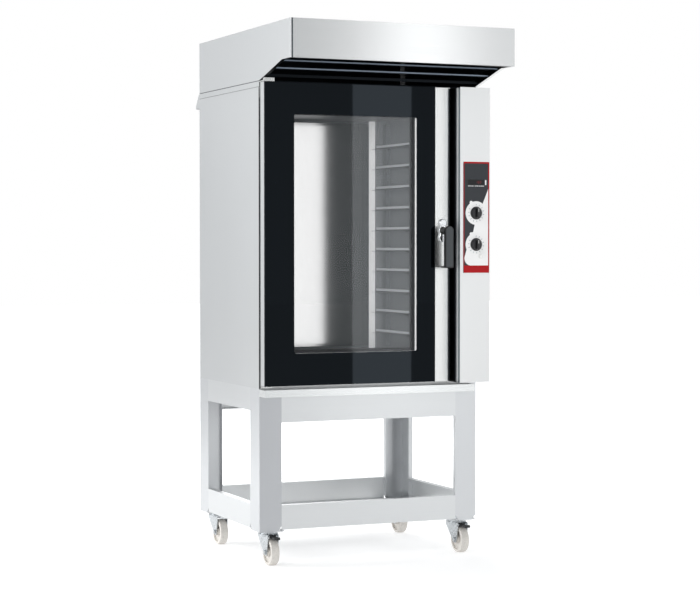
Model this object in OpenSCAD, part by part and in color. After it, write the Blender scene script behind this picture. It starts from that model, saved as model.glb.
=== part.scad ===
// Convection oven for ten 600 by 400 mm trays, on an open stand with castors,
// under a canopy hood. Sizes are in millimetres, +Z is up and the door faces -Y.
// The origin is on the floor, under the middle of the whole object.

/* [Cabinet] */
// Width of the cabinet over its side panels
cab_w = 900; // [880:5:980]
// Depth of the cabinet from the front frame to the back panel
cab_d = 670; // [665:5:740]
// Height of the cabinet between the stand and the hood
cab_h = 1140; // [1120:5:1240]
// Height of the top cover band under the hood
cover_h = 22; // [18:1:36]
// Open seam round the covers
seam = 0.8; // [0.4:0.1:1]
// Thickness of the casing sheet
skin_t = 1.5; // [1:0.1:2]

/* [Cavity] */
// Length of a tray across the oven
tray_w = 600; // [560:5:620]
// Depth of a tray from front to back
tray_d = 400; // [360:5:410]
// Play at each end of a tray
tray_play = 2.5; // [1:0.5:5]
// Number of tray levels
levels = 10; // [6:1:10]
// Distance between two tray levels
rail_pitch = 82.2; // [74:0.2:84]
// Height of the lowest rail above the cavity floor
rail_first = 67; // [60:1:80]
// Free height above the highest rail
head_room = 117; // [100:1:124]
// Height of the cavity floor above the cabinet's bottom
floor_h = 113; // [100:1:120]
// Width of the insulation beside the cavity
side_wool = 47; // [40:1:50]
// Distance from the cavity mouth to the fan baffle
baffle_y = 505; // [500:1:512]
// Depth of the fan chamber behind the baffle
fan_room = 54; // [50:1:56]
// Free gap between the fan baffle and the deflector plate in front of it
deflector_gap = 25; // [20:1:28]
// Distance from a side of the fan baffle to the deflector plate's edge
deflector_inset = 42; // [30:1:60]
// Thickness of the insulation behind the cavity
rear_wool = 28; // [20:1:30]

/* [Racks] */
// Thickness of the rack sheet
rail_t = 1.5; // [1:0.1:2]
// Depth of a rack upright from the cavity wall
upright_d = 20; // [14:1:24]
// Width of a rack upright
upright_w = 30; // [20:1:40]
// Place of the front upright behind the cavity mouth
upright_y = 86; // [70:1:100]
// Distance between the two uprights
upright_gap = 271; // [220:1:290]
// Start of a rail behind the cavity mouth
rail_y = 56; // [40:1:66]
// Width of a rail's shelf
shelf_w = 20; // [14:1:24]
// Height of a rail's back leaf
leaf_h = 14; // [10:1:20]

/* [Door] */
// Thickness of the door without its handle
door_t = 46; // [40:1:50]
// Gap between the shut door and the front frame
door_gap = 9; // [8:0.5:12]
// Gap between the door and the control column
side_gap = 5.5; // [4:0.5:8]
// Set-back of the door's hinge side from the cabinet's side
door_inset = 0.6; // [0.4:0.1:2]
// Gap under the door
door_under = 12; // [11:0.5:14]
// Gap between the door's top and the cabinet's top
door_over = 6; // [5.5:0.5:10]
// Thickness of the outer glass
glass_t = 6; // [4:0.5:8]
// Thickness of the inner glass
inner_glass_t = 5; // [4:0.5:6]
// Width of the steel edge beside the glass
edge_w = 70; // [64:1:80]
// Radius of the steel edge's rounded corner
edge_r = 18; // [10:1:20]
// Width of the glass border left and right of the window
window_side = 117; // [100:1:130]
// Width of the window
window_w = 503; // [460:1:520]
// Height of the glass border under the window
window_under = 119; // [110:1:130]
// Height of the window, the black print on the glass covers its top edge
window_h = 899; // [840:1:900]
// Distance of the hinge axis from the door's left side
hinge_x = 14.4; // [13:0.2:18]
// Distance of the hinge axis behind the door's front
hinge_y = 15; // [13:0.5:20]
// Diameter of the hinge pins
hinge_pin_d = 10; // [8:0.5:12]
// Depth of the hinge pins in the door
hinge_pin_l = 20; // [14:1:30]

/* [Handle] */
// Distance of the handle's pivot from the door's free side
handle_in = 40.5; // [38:0.5:42]
// Height of the handle's pivot above the cabinet's bottom
handle_z = 589; // [540:1:620]
// Width of the lever
lever_w = 35.5; // [30:0.5:40]
// Length of the lever from its round top to its foot
lever_l = 160; // [130:1:180]
// Thickness of the lever
lever_t = 16; // [12:1:20]
// Distance of the lever's front from the door's front
lever_out = 65; // [55:1:75]
// Width of the oval rosette
rosette_w = 39; // [38:0.5:44]
// Height of the oval rosette
rosette_h = 89; // [80:1:96]
// Thickness of the rosette
rosette_t = 10; // [6:1:14]
// Diameter of the lever's neck
neck_d = 22; // [18:1:26]
// Diameter of the handle's spindle
spindle_d = 12; // [10:1:14]

/* [Control column] */
// Width of the control column
column_w = 127; // [115:1:140]
// Depth of the control column in front of the front frame
column_d = 115; // [90:1:130]
// Gap under the control column
column_under = 9; // [6:1:14]
// Gap between the column's top and the cabinet's top
column_over = 6; // [4:1:10]
// Width of the control plate
plate_w = 110; // [100:1:114]
// Height of the control plate
plate_h = 423; // [400:1:460]
// Height of the control plate's bottom above the cabinet's bottom
plate_z = 428; // [360:1:520]
// Distance of the control plate from the column's outer side
plate_side = 3; // [2:0.5:8]
// Thickness of the control plate
plate_t = 2; // [1:0.5:3]
// Diameter of the knobs
knob_d = 49; // [40:1:52]
// Height of the knobs
knob_h = 22; // [16:1:28]
// Diameter of the knob stems
stem_d = 8; // [6:0.5:10]
// Height of the upper knob above the plate's bottom
knob_hi = 228; // [210:1:250]
// Height of the lower knob above the plate's bottom
knob_lo = 108; // [90:1:130]
// Diameter of the push button
button_d = 15; // [12:0.5:18]
// Height of the push button above the plate's bottom
button_z = 63; // [50:1:66]
// Travel of the push button
button_travel = 2.5; // [1:0.1:4]
// Width of the display
display_w = 76; // [60:1:80]
// Height of the display
display_h = 23; // [18:1:30]
// Height of the display's bottom above the plate's bottom
display_z = 334; // [310:1:350]

/* [Hood] */
// Height of the hood above the cabinet
hood_h = 200; // [180:5:260]
// Reach of the hood in front of the front frame
hood_over = 312; // [280:2:340]
// Height of the hood's front face
fascia_h = 141; // [120:1:160]
// Depth of the level part of the hood's underside
hood_flat = 82; // [70:1:100]
// Width of the folded lips under the hood
hood_lip = 12; // [8:1:16]
// Number of slats under the hood
slat_count = 3; // [2:1:4]
// Distance between two slats
slat_pitch = 79; // [60:1:84]
// Distance of the last slat in front of the front frame
slat_y = 48; // [44:1:60]
// Depth of a slat
slat_d = 37; // [30:1:50]
// Height of a slat's front lip
slat_lip = 10; // [6:1:14]
// Outer diameter of the exhaust collar
collar_d = 150; // [120:5:180]
// Height of the exhaust collar
collar_h = 45; // [30:1:60]
// Distance of the exhaust collar from the back panel
collar_back = 150; // [120:5:200]
// Depth of the cowl behind the back panel
cowl_d = 44; // [30:1:60]
// Height of the cowl
cowl_h = 56; // [40:1:80]

/* [Gutter] */
// Height of the drip gutter
gutter_h = 27; // [20:1:36]
// Depth of the drip gutter
gutter_d = 55; // [40:1:60]
// Gap between the gutter's right end and the cabinet's right side
gutter_short = 33; // [10:1:60]

/* [Stand] */
// Height of the stand between the castors and the cabinet
stand_h = 535; // [480:5:600]
// Thickness of the stand's sheet
stand_t = 2; // [1.5:0.5:3]
// Width of a leg's front flange
leg_w = 88; // [70:1:100]
// Width of a leg's side flange
leg_d = 98; // [80:1:110]
// Depth of the folded lips along a leg
leg_lip = 18; // [12:1:24]
// Size of the cut bottom corners of a leg
leg_cut = 14; // [8:1:20]
// Height of the front and rear top rails
top_rail_h = 128; // [100:1:150]
// Height of the side top rails
side_rail_h = 86; // [70:1:110]
// Height of the low rails
low_rail_h = 92; // [70:1:110]
// Height of the low rails above the legs' bottom
low_rail_z = 6; // [4:1:30]
// Depth of the rails' folded lips
rail_lip = 26; // [15:1:34]

/* [Castors] */
// Height of a castor from the floor to its top plate
castor_h = 128; // [124:1:140]
// Diameter of a wheel
wheel_d = 100; // [90:1:102]
// Width of a wheel's tread
wheel_w = 32; // [26:1:34]
// Distance from a swivel axis to the axle
trail = 30; // [24:1:36]
// Distance of the swivel axes from the cabinet's sides
castor_in = 55; // [52:1:70]
// Diameter of the wheel axles
axle_d = 10; // [8:0.5:12]
// Diameter of the king pins
king_d = 12; // [10:0.5:14]
// Thickness of the fork's sheet
fork_t = 3; // [2:0.5:4]

/* [Hidden] */
$fn = 64;
// Radial clearance of a running fit, and the gap of a loose one
run_gap = 0.05;
loose_gap = 0.3;

// Places in the cabinet's frame: X from its left side, Y from its front frame, Z from the floor
z_leg = castor_h;
z_base = castor_h + stand_h;
z_top = z_base + cab_h;
z_hood = z_top + hood_h;
z_cover = z_top - cover_h;
z_lip = z_hood - fascia_h;
front_y = hood_over - (hood_over + cab_d + cowl_d) / 2;

cav_w = tray_w + 2 * (tray_play + rail_t + upright_d);
cav_x = skin_t + side_wool + skin_t;
cav_z = z_base + floor_h;
cav_h = rail_first + (levels - 1) * rail_pitch + head_room;
cav_d = baffle_y + fan_room;
wool_y = cav_d + skin_t;
cav_mid = cav_x + cav_w / 2;
floor_wool = 50;
right_wool = 40;
foot_w = 30;
lip_z = z_cover - 20;
wool_top = lip_z - 2;

door_y = -door_gap - door_t;
door_z = z_base + door_under;
door_h = cab_h - door_under - door_over;
door_x = door_inset;
column_x = cab_w - column_w;
door_w = column_x - side_gap - door_inset;
glass_gap = 2;
glass_w = door_w - edge_w - glass_gap;
tray_front = door_y + glass_t;
frame_w = door_w - edge_r;
window_x = door_x + window_side;
window_z = door_z + window_under;
pivot_x = door_x + hinge_x;
pivot_y = door_y + hinge_y;
bracket_w = 40;
bracket_gap = 1.5;

hand_x = door_x + door_w - handle_in;
hand_z = z_base + handle_z;
lever_front = door_y - lever_out;
rosette_y = door_y - rosette_t;
rosette_drop = 7;
cam_r = 11;
cam_w = 10;
cam_l = door_gap + 10;
cup_r = cam_r + 2;
cup_d = 18;
seal_w = 10;
seal_back = 1.5;
seal_t = door_gap - loose_gap;

plate_x = cab_w - plate_side - plate_w;
plate_bottom = z_base + plate_z;
plate_y = -column_d - plate_t;
knob_x = plate_x + plate_w / 2 - 1.5;
button_x = knob_x + 19;
display_x = plate_x + 12;
knob_lift = 0.5;
button_out = 5;
switch_w = 44;
switch_d = 46;
push_w = 28;
bush_d = 14;

fan_d = 220;
fan_w = 34;
fan_gap = 9;
hub_d = 46;
shaft_d = 12;
shaft_hole = 24;
blade_count = 8;
blade_w = 52;
motor_d = 116;
lead_out = 14;
motor_y = wool_y + rear_wool;
motor_l = cab_d - skin_t - motor_y - 4;
fan_z = [cav_z + cav_h / 4, cav_z + cav_h * 3 / 4];
ring_r = 135;
ring_tube = 8.5;
lead_d = 6.4;
ring_y = baffle_y + skin_t + 8;
ring_step = 20;
lead_gap = 60;
intake_d = 190;
strip_w = 28;
baffle_gap = 12;
post_d = 10;
deflector_rim = 24;
stud_inset = 20;
lamp_d = 60;
lamp_y = 40;
lamp_z = cav_z + 2 * rail_pitch;

slope = (z_lip - z_top - seam) / (hood_over - hood_flat);
collar_y = cab_d - collar_back;
collar_t = 1.5;

crown_z = castor_h - 20;
crown_t = 8.7;
crown_d = 76;
bearing_d = 62;
castor_plate_w = 92;
castor_plate_d = 84;
fork_in = wheel_w / 2 + 4;
axle_z = wheel_d / 2;
hub_w = 2 * fork_in - 0.6;
pedal_w = 24;
pedal_y = 46;
pedal_z = crown_z + 1;
pedal_pin = 6;
pedal_l = 44;
gusset_t = 4;

wool_right = cav_x + cav_w + skin_t + right_wool;
fitting_x = (wool_right + cab_w) / 2;
fitting_up = 90;
fitting_step = 64;
inlet_z = z_base + fitting_up;
gland_z = inlet_z + fitting_step;
inlet_d = 26.4;
inlet_in = 30;
inlet_l = 15;
inlet_bore = 16;
gland_thread = 25;
gland_bore = 14;
inner_lap = 12;
stem_l = 22;
stem_bore_l = 26;
plunger_d = button_d * 0.6;
plunger_l = 18;
rosette_floor = 4;
hood_front_lip = 25;
vent_x = 80;
vent_l = 40;
vent_h = 12;
vent_step = 70;
vent_z = z_cover - 32;
louvre_up = 300;
louvre_z = z_base + louvre_up;
louvre_l = 90;
louvre_h = 6;
louvre_step = 16;
louvre_count = 8;

// Colours as the photograph shows them
steel = "#CFD1D2";
bright = "#E3E4E3";
stand_grey = "#C4C6C9";
inside_grey = "#7A7D80";
dark = "#2B2E31";
black = "#15171A";
zinc = "#B9BCBE";
nylon = "#C9C5C0";
red = "#B51A22";

// Moves a child from the cabinet's frame to the part's own frame
module place() {
    translate([-cab_w / 2, front_y, 0]) children();
}

// A block given by its lowest and its highest corner
module block(low, high) {
    translate(low) cube(high - low);
}

// A round bar along Y, X or Z that starts at a point
module bar_y(p, d, l) {
    translate(p) rotate([-90, 0, 0]) cylinder(d = d, h = l);
}
module bar_x(p, d, l) {
    translate(p) rotate([0, 90, 0]) cylinder(d = d, h = l);
}
module bar_z(p, d, l) {
    translate(p) cylinder(d = d, h = l);
}

// A shape drawn in Y and Z, drawn out along X from x0 to x1
module along_x(x0, x1) {
    translate([x0, 0, 0]) rotate([90, 0, 90]) linear_extrude(height = x1 - x0) children();
}

// A shape drawn in X and Z, drawn out along Y from y0 to y1
module along_y(y0, y1) {
    translate([0, y1, 0]) rotate([90, 0, 0]) linear_extrude(height = y1 - y0) children();
}

// A plate in X and Z with a rectangular opening
module ring_plate(low, high, hole_low, hole_high) {
    difference() {
        block(low, high);
        block([hole_low[0], low[1] - 1, hole_low[1]], [hole_high[0], high[1] + 1, hole_high[1]]);
    }
}

// Mirrors a shape of the left side to the right side of the cabinet, or leaves it
module on_side(right) {
    if (right) translate([cab_w, 0, 0]) mirror([1, 0, 0]) children();
    else children();
}

// Mirrors a shape of the front to the rear of the stand, or leaves it
module on_rear(rear) {
    if (rear) translate([0, cab_d, 0]) mirror([0, 1, 0]) children();
    else children();
}

// Folded leg: two flanges at a corner, each with a lip, and cut bottom corners
module stand_leg(right, rear) {
    color(stand_grey) place() on_side(right) on_rear(rear) difference() {
        union() {
            block([0, 0, z_leg], [leg_w, stand_t, z_base]);
            block([0, 0, z_leg], [stand_t, leg_d, z_base]);
            block([leg_w - stand_t, 0, z_leg], [leg_w, leg_lip, z_base]);
            block([0, leg_d - stand_t, z_leg], [leg_lip, leg_d, z_base]);
        }
        along_y(-1, leg_lip + 1) polygon([[leg_w - leg_cut, z_leg - 1], [leg_w - leg_cut, z_leg],
            [leg_w, z_leg + 1.5 * leg_cut], [leg_w + 1, z_leg + 1.5 * leg_cut], [leg_w + 1, z_leg - 1]]);
        along_x(-1, leg_lip + 1) polygon([[leg_d - leg_cut, z_leg - 1], [leg_d - leg_cut, z_leg],
            [leg_d, z_leg + 1.5 * leg_cut], [leg_d + 1, z_leg + 1.5 * leg_cut], [leg_d + 1, z_leg - 1]]);
        // The front right leg is cut at its outer corner too
        if (right && !rear) along_y(-1, stand_t + leg_cut)
            polygon([[-1, z_leg - 1], [1.5 * leg_cut, z_leg - 1], [1.5 * leg_cut, z_leg],
                     [0, z_leg + 1.3 * leg_cut], [-1, z_leg + 1.3 * leg_cut]]);
    }
}

// Rail between the front legs or the rear legs: a channel with two lips
module cross_rail(rear, z0, h) {
    on_rear(rear) {
        block([leg_w, 0, z0], [cab_w - leg_w, stand_t, z0 + h]);
        block([leg_w, 0, z0], [cab_w - leg_w, rail_lip, z0 + stand_t]);
        block([leg_w, 0, z0 + h - stand_t], [cab_w - leg_w, rail_lip, z0 + h]);
    }
}

// Rail between a front leg and a rear leg
module side_rail(right, z0, h) {
    on_side(right) {
        block([0, leg_d, z0], [stand_t, cab_d - leg_d, z0 + h]);
        block([0, leg_d, z0], [rail_lip, cab_d - leg_d, z0 + stand_t]);
        block([0, leg_d, z0 + h - stand_t], [rail_lip, cab_d - leg_d, z0 + h]);
    }
}

module stand_top_rails() {
    color(stand_grey) place() for (far = [false, true]) {
        cross_rail(far, z_base - top_rail_h, top_rail_h);
        side_rail(far, z_base - side_rail_h, side_rail_h);
    }
}

module stand_low_rails() {
    color(stand_grey) place() for (far = [false, true]) {
        cross_rail(far, z_leg + low_rail_z, low_rail_h);
        side_rail(far, z_leg + low_rail_z, low_rail_h);
    }
}

// Runs its child at each castor's swivel axis
module at_castor(right, rear) {
    place() translate([right ? cab_w - castor_in : castor_in,
                       rear ? cab_d - castor_in : castor_in, 0]) children();
}

// Plates inside the foot of each leg that carry the castors
module castor_gussets() {
    reach = castor_in + 44;
    color(stand_grey) place() for (right = [false, true], rear = [false, true])
        on_side(right) on_rear(rear) difference() {
            block([stand_t, stand_t, z_leg], [reach, reach, z_leg + gusset_t]);
            block([leg_w - stand_t - loose_gap, 0, z_leg - 1],
                  [leg_w + loose_gap, leg_lip + loose_gap, z_leg + gusset_t + 1]);
            block([0, leg_d - stand_t - loose_gap, z_leg - 1],
                  [leg_lip + loose_gap, leg_d + loose_gap, z_leg + gusset_t + 1]);
            bar_z([castor_in, castor_in, z_leg - 1], king_d + 2 * run_gap, gusset_t + 2);
        }
}

// Fixed part of each castor: top plate, bearing cup, king pin and its nuts
module castor_tops() {
    nut_h = 7;
    color(zinc) for (right = [false, true], rear = [false, true]) at_castor(right, rear) {
        block([-castor_plate_w / 2, -castor_plate_d / 2, z_leg - 3],
              [castor_plate_w / 2, castor_plate_d / 2, z_leg]);
        bar_z([0, 0, crown_z + crown_t + loose_gap], bearing_d, z_leg - crown_z - crown_t - loose_gap);
        bar_z([0, 0, crown_z - 5], king_d, z_leg + gusset_t + nut_h - crown_z + 8);
        translate([0, 0, z_leg + gusset_t]) cylinder(d = 21, h = nut_h, $fn = 6);
        bar_z([0, 0, crown_z - 7], 20, 6.7);
    }
}

// Side plate of a fork, drawn in Y and Z, with the pedal pin's hole on a braked castor
module fork_cheek(braked) {
    difference() {
        polygon([[-52, crown_z + crown_t], [44, crown_z + crown_t], [47, crown_z - 6], [-6, axle_z + 2],
                 [-trail + 12, axle_z - 12], [-trail - 10, axle_z - 12], [-trail - 16, axle_z + 2],
                 [-54, crown_z - 6]]);
        translate([-trail, axle_z]) circle(d = axle_d);
        if (braked) translate([-pedal_y, pedal_z]) circle(d = pedal_pin);
    }
}

// Swivelling fork with its axle bolt, and with a pedal pin on a braked castor
module castor_fork(right, rear) {
    head_h = 6;
    color(zinc) at_castor(right, rear) {
        difference() {
            union() {
                bar_z([0, 0, crown_z], crown_d, crown_t);
                block([-fork_in - fork_t, -34, crown_z], [fork_in + fork_t, 34, crown_z + crown_t]);
                along_x(fork_in, fork_in + fork_t) fork_cheek(!rear);
                along_x(-fork_in - fork_t, -fork_in) fork_cheek(!rear);
            }
            bar_z([0, 0, crown_z - 1], king_d + 2 * run_gap, crown_t + 2);
            bar_z([0, 0, crown_z - 1], 21, 1 + loose_gap);
        }
        bar_x([-fork_in - fork_t, -trail, axle_z], axle_d, 2 * (fork_in + fork_t));
        translate([-fork_in - fork_t - head_h, -trail, axle_z]) rotate([0, 90, 0])
            cylinder(d = 18, h = head_h, $fn = 6);
        translate([fork_in + fork_t, -trail, axle_z]) rotate([0, 90, 0])
            cylinder(d = 18, h = head_h, $fn = 6);
        if (!rear) bar_x([-fork_in - fork_t, -pedal_y, pedal_z], pedal_pin, 2 * (fork_in + fork_t));
    }
}

// Nylon wheel: tread with rounded shoulders, recessed web and a bored hub
module castor_wheel(right, rear) {
    r = wheel_d / 2;
    half = wheel_w / 2;
    color(nylon) at_castor(right, rear) translate([0, -trail, axle_z]) rotate([0, 90, 0])
        rotate_extrude() {
            difference() {
                translate([0, -half]) square([r, wheel_w]);
                for (end = [-1, 1]) {
                    translate([r - 3, end * (half - 3)]) difference() {
                        translate([0, end > 0 ? 0 : -3.5]) square([3.5, 3.5]);
                        circle(r = 3, $fn = 32);
                    }
                    translate([axle_d / 2 + 10, end > 0 ? half - 8 : -half - 1])
                        square([r - axle_d / 2 - 20, 9]);
                }
                translate([-1, -half - 1]) square([axle_d / 2 + run_gap + 1, wheel_w + 2]);
            }
            translate([axle_d / 2 + run_gap, -hub_w / 2]) square([7, hub_w]);
        }
}

// Brake pedal with its hub on the fork's pin
module castor_brake(right) {
    color(dark) at_castor(right, false) difference() {
        union() {
            bar_x([-pedal_w / 2, -pedal_y, pedal_z], 11, pedal_w);
            translate([0, -pedal_y, pedal_z]) {
                block([2 - pedal_w / 2, -pedal_l, -4], [pedal_w / 2 - 2, -4, 0]);
                block([-pedal_w / 2, -pedal_l - 4, -7], [pedal_w / 2, -pedal_l + 12, 2]);
            }
        }
        bar_x([-pedal_w / 2 - 1, -pedal_y, pedal_z], pedal_pin + 2 * run_gap, pedal_w + 2);
    }
}

// Side panel with the lip that fits behind the top cover's skirt
module side_panel(right) {
    color(steel) place() on_side(right) {
        block([0, 0, z_base], [skin_t, cab_d, z_cover - seam]);
        block([skin_t, 2, lip_z], [2 * skin_t, cab_d - 2, z_cover + cover_h / 2]);
    }
}

// Back panel with two fields of cooling slots, a row of vents under the cowl and the fittings' holes
module back_panel() {
    y0 = cab_d - skin_t - 1;
    y1 = cab_d + 1;
    vent_count = floor((cab_w - 2 * vent_x) / vent_step);
    color(steel) place() difference() {
        block([skin_t, cab_d - skin_t, z_base + skin_t], [cab_w - skin_t, cab_d, z_cover - seam]);
        for (x = [cav_mid, fitting_x], i = [0 : louvre_count - 1])
            block([x - louvre_l / 2, y0, louvre_z + i * louvre_step],
                  [x + louvre_l / 2, y1, louvre_z + i * louvre_step + louvre_h]);
        for (i = [0 : vent_count])
            block([vent_x + i * vent_step, y0, vent_z],
                  [vent_x + i * vent_step + vent_l, y1, vent_z + vent_h]);
        bar_y([fitting_x, y0, inlet_z], inlet_d, skin_t + 2);
        bar_y([fitting_x, y0, gland_z], gland_thread, skin_t + 2);
    }
}

// Top cover: a shallow lid with a skirt on every side
module top_panel() {
    color(steel) place() difference() {
        block([0, 0, z_cover], [cab_w, cab_d, z_top]);
        block([skin_t, skin_t, z_cover - 1], [cab_w - skin_t, cab_d - skin_t, z_top - skin_t]);
    }
}

// Base pan with two channels that carry the insulated cavity
module base_pan() {
    wool_z = cav_z - skin_t - floor_wool;
    color(steel) place() {
        block([skin_t, 0, z_base], [cab_w - skin_t, cab_d, z_base + skin_t]);
        for (x = [cav_x + 60, cav_x + cav_w - 90]) {
            block([x, 40, z_base], [x + skin_t, wool_y - 40, wool_z]);
            block([x + foot_w, 40, z_base], [x + foot_w + skin_t, wool_y - 40, wool_z]);
            block([x, 40, wool_z - skin_t], [x + foot_w + skin_t, wool_y - 40, wool_z]);
        }
    }
}

// Front frame with the cavity mouth and the hole for the latch
module front_frame() {
    color(bright) place() difference() {
        block([skin_t, 0, z_base + skin_t], [cab_w - skin_t, skin_t, z_cover - seam]);
        block([cav_x, -1, cav_z], [cav_x + cav_w, skin_t + 1, cav_z + cav_h]);
        bar_y([hand_x, -1, hand_z], 2 * (cup_r + skin_t), skin_t + 2);
    }
}

// Welded cavity, open at the front, with holes for the shafts, heater leads and lamp
module cavity_liner() {
    color(inside_grey) place() difference() {
        block([cav_x - skin_t, skin_t, cav_z - skin_t],
              [cav_x + cav_w + skin_t, wool_y, cav_z + cav_h + skin_t]);
        block([cav_x, skin_t - 1, cav_z], [cav_x + cav_w, wool_y - skin_t, cav_z + cav_h]);
        rear_holes(wool_y - skin_t - 1, skin_t + 2, shaft_hole, lead_d + 2 * loose_gap);
        bar_x([cav_x - skin_t - 1, lamp_y, lamp_z], lamp_d - 16, skin_t + 2);
    }
}

// Holes through the rear wall for each fan shaft and each heater lead
module rear_holes(y, l, shaft_hole_d, lead_hole_d) {
    for (z = fan_z) {
        bar_y([cav_mid, y, z], shaft_hole_d, l);
        for (side = [-1, 1]) bar_y([cav_mid + side * lead_gap / 2, y, lead_z(z)], lead_hole_d, l);
    }
}
function lead_z(z) = z - sqrt(ring_r * ring_r - lead_gap * lead_gap / 4);

// Mineral wool round the five closed sides of the cavity
module insulation() {
    keeper_room = 2 * (cup_r + 6);
    color("#D8CFA8") place() difference() {
        block([skin_t, skin_t, cav_z - skin_t - floor_wool],
              [wool_right, wool_y + rear_wool, wool_top]);
        block([cav_x - skin_t, 0, cav_z - skin_t],
              [cav_x + cav_w + skin_t, wool_y, cav_z + cav_h + skin_t]);
        rear_holes(wool_y - 1, rear_wool + 2, shaft_hole + 8, lead_d + 8);
        bar_y([hand_x, 0, hand_z], keeper_room, cup_d + 8);
        bar_x([0, lamp_y, lamp_z], lamp_d + 4, cav_x);
    }
}

// Silicone seal round the cavity mouth
module door_seal() {
    color(dark) place() ring_plate(
        [cav_x - seal_back - seal_w, -seal_t, cav_z - seal_back - seal_w],
        [cav_x + cav_w + seal_back + seal_w, 0, cav_z + cav_h + seal_back + seal_w],
        [cav_x - seal_back, cav_z - seal_back],
        [cav_x + cav_w + seal_back, cav_z + cav_h + seal_back]);
}

// Baffle in front of the fans, with a guarded intake at each, posts to the rear wall and a smooth
// deflector plate on studs that keeps trays and spray off the intakes
module fan_baffle() {
    x0 = cav_x + strip_w;
    x1 = cav_x + cav_w - strip_w;
    color("#4A4D52") place() {
        difference() {
            block([x0, baffle_y, cav_z + baffle_gap], [x1, baffle_y + skin_t, cav_z + cav_h - baffle_gap]);
            for (z = fan_z) bar_y([cav_mid, baffle_y - 1, z], intake_d, skin_t + 2);
        }
        for (z = fan_z) {
            for (r = [25 : 14 : intake_d / 2 - 5]) translate([cav_mid, baffle_y, z]) rotate([-90, 0, 0])
                difference() {
                    cylinder(r = r + 2, h = skin_t);
                    translate([0, 0, -1]) cylinder(r = r, h = skin_t + 2);
                }
            for (a = [0, 90]) translate([cav_mid, baffle_y, z]) rotate([0, a, 0])
                block([-intake_d / 2 - 1, 0, -2], [intake_d / 2 + 1, skin_t, 2]);
        }
        for (x = [x0 + 14, x1 - 14], z = [cav_z + 30, cav_z + cav_h - 30])
            bar_y([x, baffle_y, z], post_d, fan_room);
        deflector(x0 + deflector_inset, x1 - deflector_inset);
    }
}

// Deflector plate between two x values, with a stud to the baffle near each corner
module deflector(x0, x1) {
    y0 = baffle_y - deflector_gap - skin_t;
    low = cav_z + deflector_rim;
    high = cav_z + cav_h - deflector_rim;
    block([x0, y0, low], [x1, y0 + skin_t, high]);
    for (x = [x0 + stud_inset, x1 - stud_inset], z = [low + stud_inset, high - stud_inset])
        bar_y([x, y0 + skin_t, z], post_d, deflector_gap);
}

// Bright upright strips that turn the air into the cavity on both sides of the baffle
module air_strips() {
    bend = 3;
    color(bright) place() for (right = [false, true])
        translate([right ? 2 * cav_x + cav_w : 0, 0, 0]) mirror([right ? 1 : 0, 0, 0]) {
            block([cav_x, baffle_y, cav_z],
                  [cav_x + strip_w - loose_gap, baffle_y + skin_t, cav_z + cav_h]);
            block([cav_x + bend, baffle_y, cav_z],
                  [cav_x + bend + skin_t, baffle_y + fan_room, cav_z + cav_h]);
        }
}

// Tray rack: two uprights and a rail with a shelf at every level
module tray_rack(right) {
    color(inside_grey) place() translate([right ? 2 * cav_x + cav_w : 0, 0, 0])
        mirror([right ? 1 : 0, 0, 0]) translate([cav_x, 0, cav_z]) {
            for (y = [upright_y, upright_y + upright_gap]) {
                block([upright_d - rail_t, y, 20], [upright_d, y + upright_w, cav_h - 20]);
                block([0, y, 20], [upright_d, y + rail_t, cav_h - 20]);
                block([0, y + upright_w - rail_t, 20], [upright_d, y + upright_w, cav_h - 20]);
            }
            for (i = [0 : levels - 1]) translate([upright_d, rail_y, rail_first + i * rail_pitch]) {
                block([0, 0, -rail_t], [rail_t, tray_d - 10, leaf_h]);
                block([0, 0, -rail_t], [rail_t + shelf_w, tray_d - 10, 0]);
            }
        }
}

// Two double heater rings round the fans, with leads through the rear wall
module heating_elements() {
    lead_l = motor_y + lead_out - ring_y;
    color("#55585C") place() for (z = fan_z) {
        for (i = [0, 1]) translate([cav_mid, ring_y + i * ring_step, z]) rotate([90, 0, 0])
            rotate_extrude() translate([ring_r, 0]) circle(d = ring_tube, $fn = 24);
        for (side = [-1, 1]) bar_y([cav_mid + side * lead_gap / 2, ring_y, lead_z(z)], lead_d, lead_l);
    }
}

// Motor bodies behind the insulation, each with a bore for its shaft
module fan_motors() {
    foot = 150;
    color(zinc) place() for (z = fan_z) difference() {
        union() {
            bar_y([cav_mid, motor_y, z], motor_d, motor_l);
            block([cav_mid - foot / 2, motor_y, z - foot / 2],
                  [cav_mid + foot / 2, motor_y + 2, z + foot / 2]);
        }
        bar_y([cav_mid, motor_y - 1, z], shaft_d + 2 * run_gap, motor_l - 8);
    }
}

// Fan wheel with straight blades, welded to its shaft
module cavity_fan(z) {
    fan_y = baffle_y + skin_t + fan_gap;
    color(zinc) place() translate([cav_mid, fan_y, z]) rotate([-90, 0, 0]) {
        cylinder(d = hub_d, h = fan_w);
        translate([0, 0, fan_w - 2]) cylinder(d = fan_d, h = 2);
        cylinder(d = shaft_d, h = motor_y + motor_l / 2 - fan_y);
        for (i = [0 : blade_count - 1]) rotate([0, 0, i * 360 / blade_count])
            translate([fan_d / 2 - blade_w, -1, 0]) cube([blade_w, 2, fan_w]);
    }
}

// Lamp in the left wall behind a round glass
module cavity_lamp() {
    color("#EFE8C8") place() {
        bar_x([cav_x, lamp_y, lamp_z], lamp_d, 6);
        bar_x([cav_x - 36, lamp_y, lamp_z], lamp_d - 18, 36);
    }
}

// Side view of the hood in Y and Z, from its level lip down the slope to the cabinet
function hood_outline(off) = [
    [-hood_over + off, z_lip + off], [-hood_over + hood_flat, z_lip + off], [0, z_top + seam + off],
    [cab_d - off, z_top + seam + off], [cab_d - off, z_hood - off], [-hood_over + off, z_hood - off]];

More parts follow.
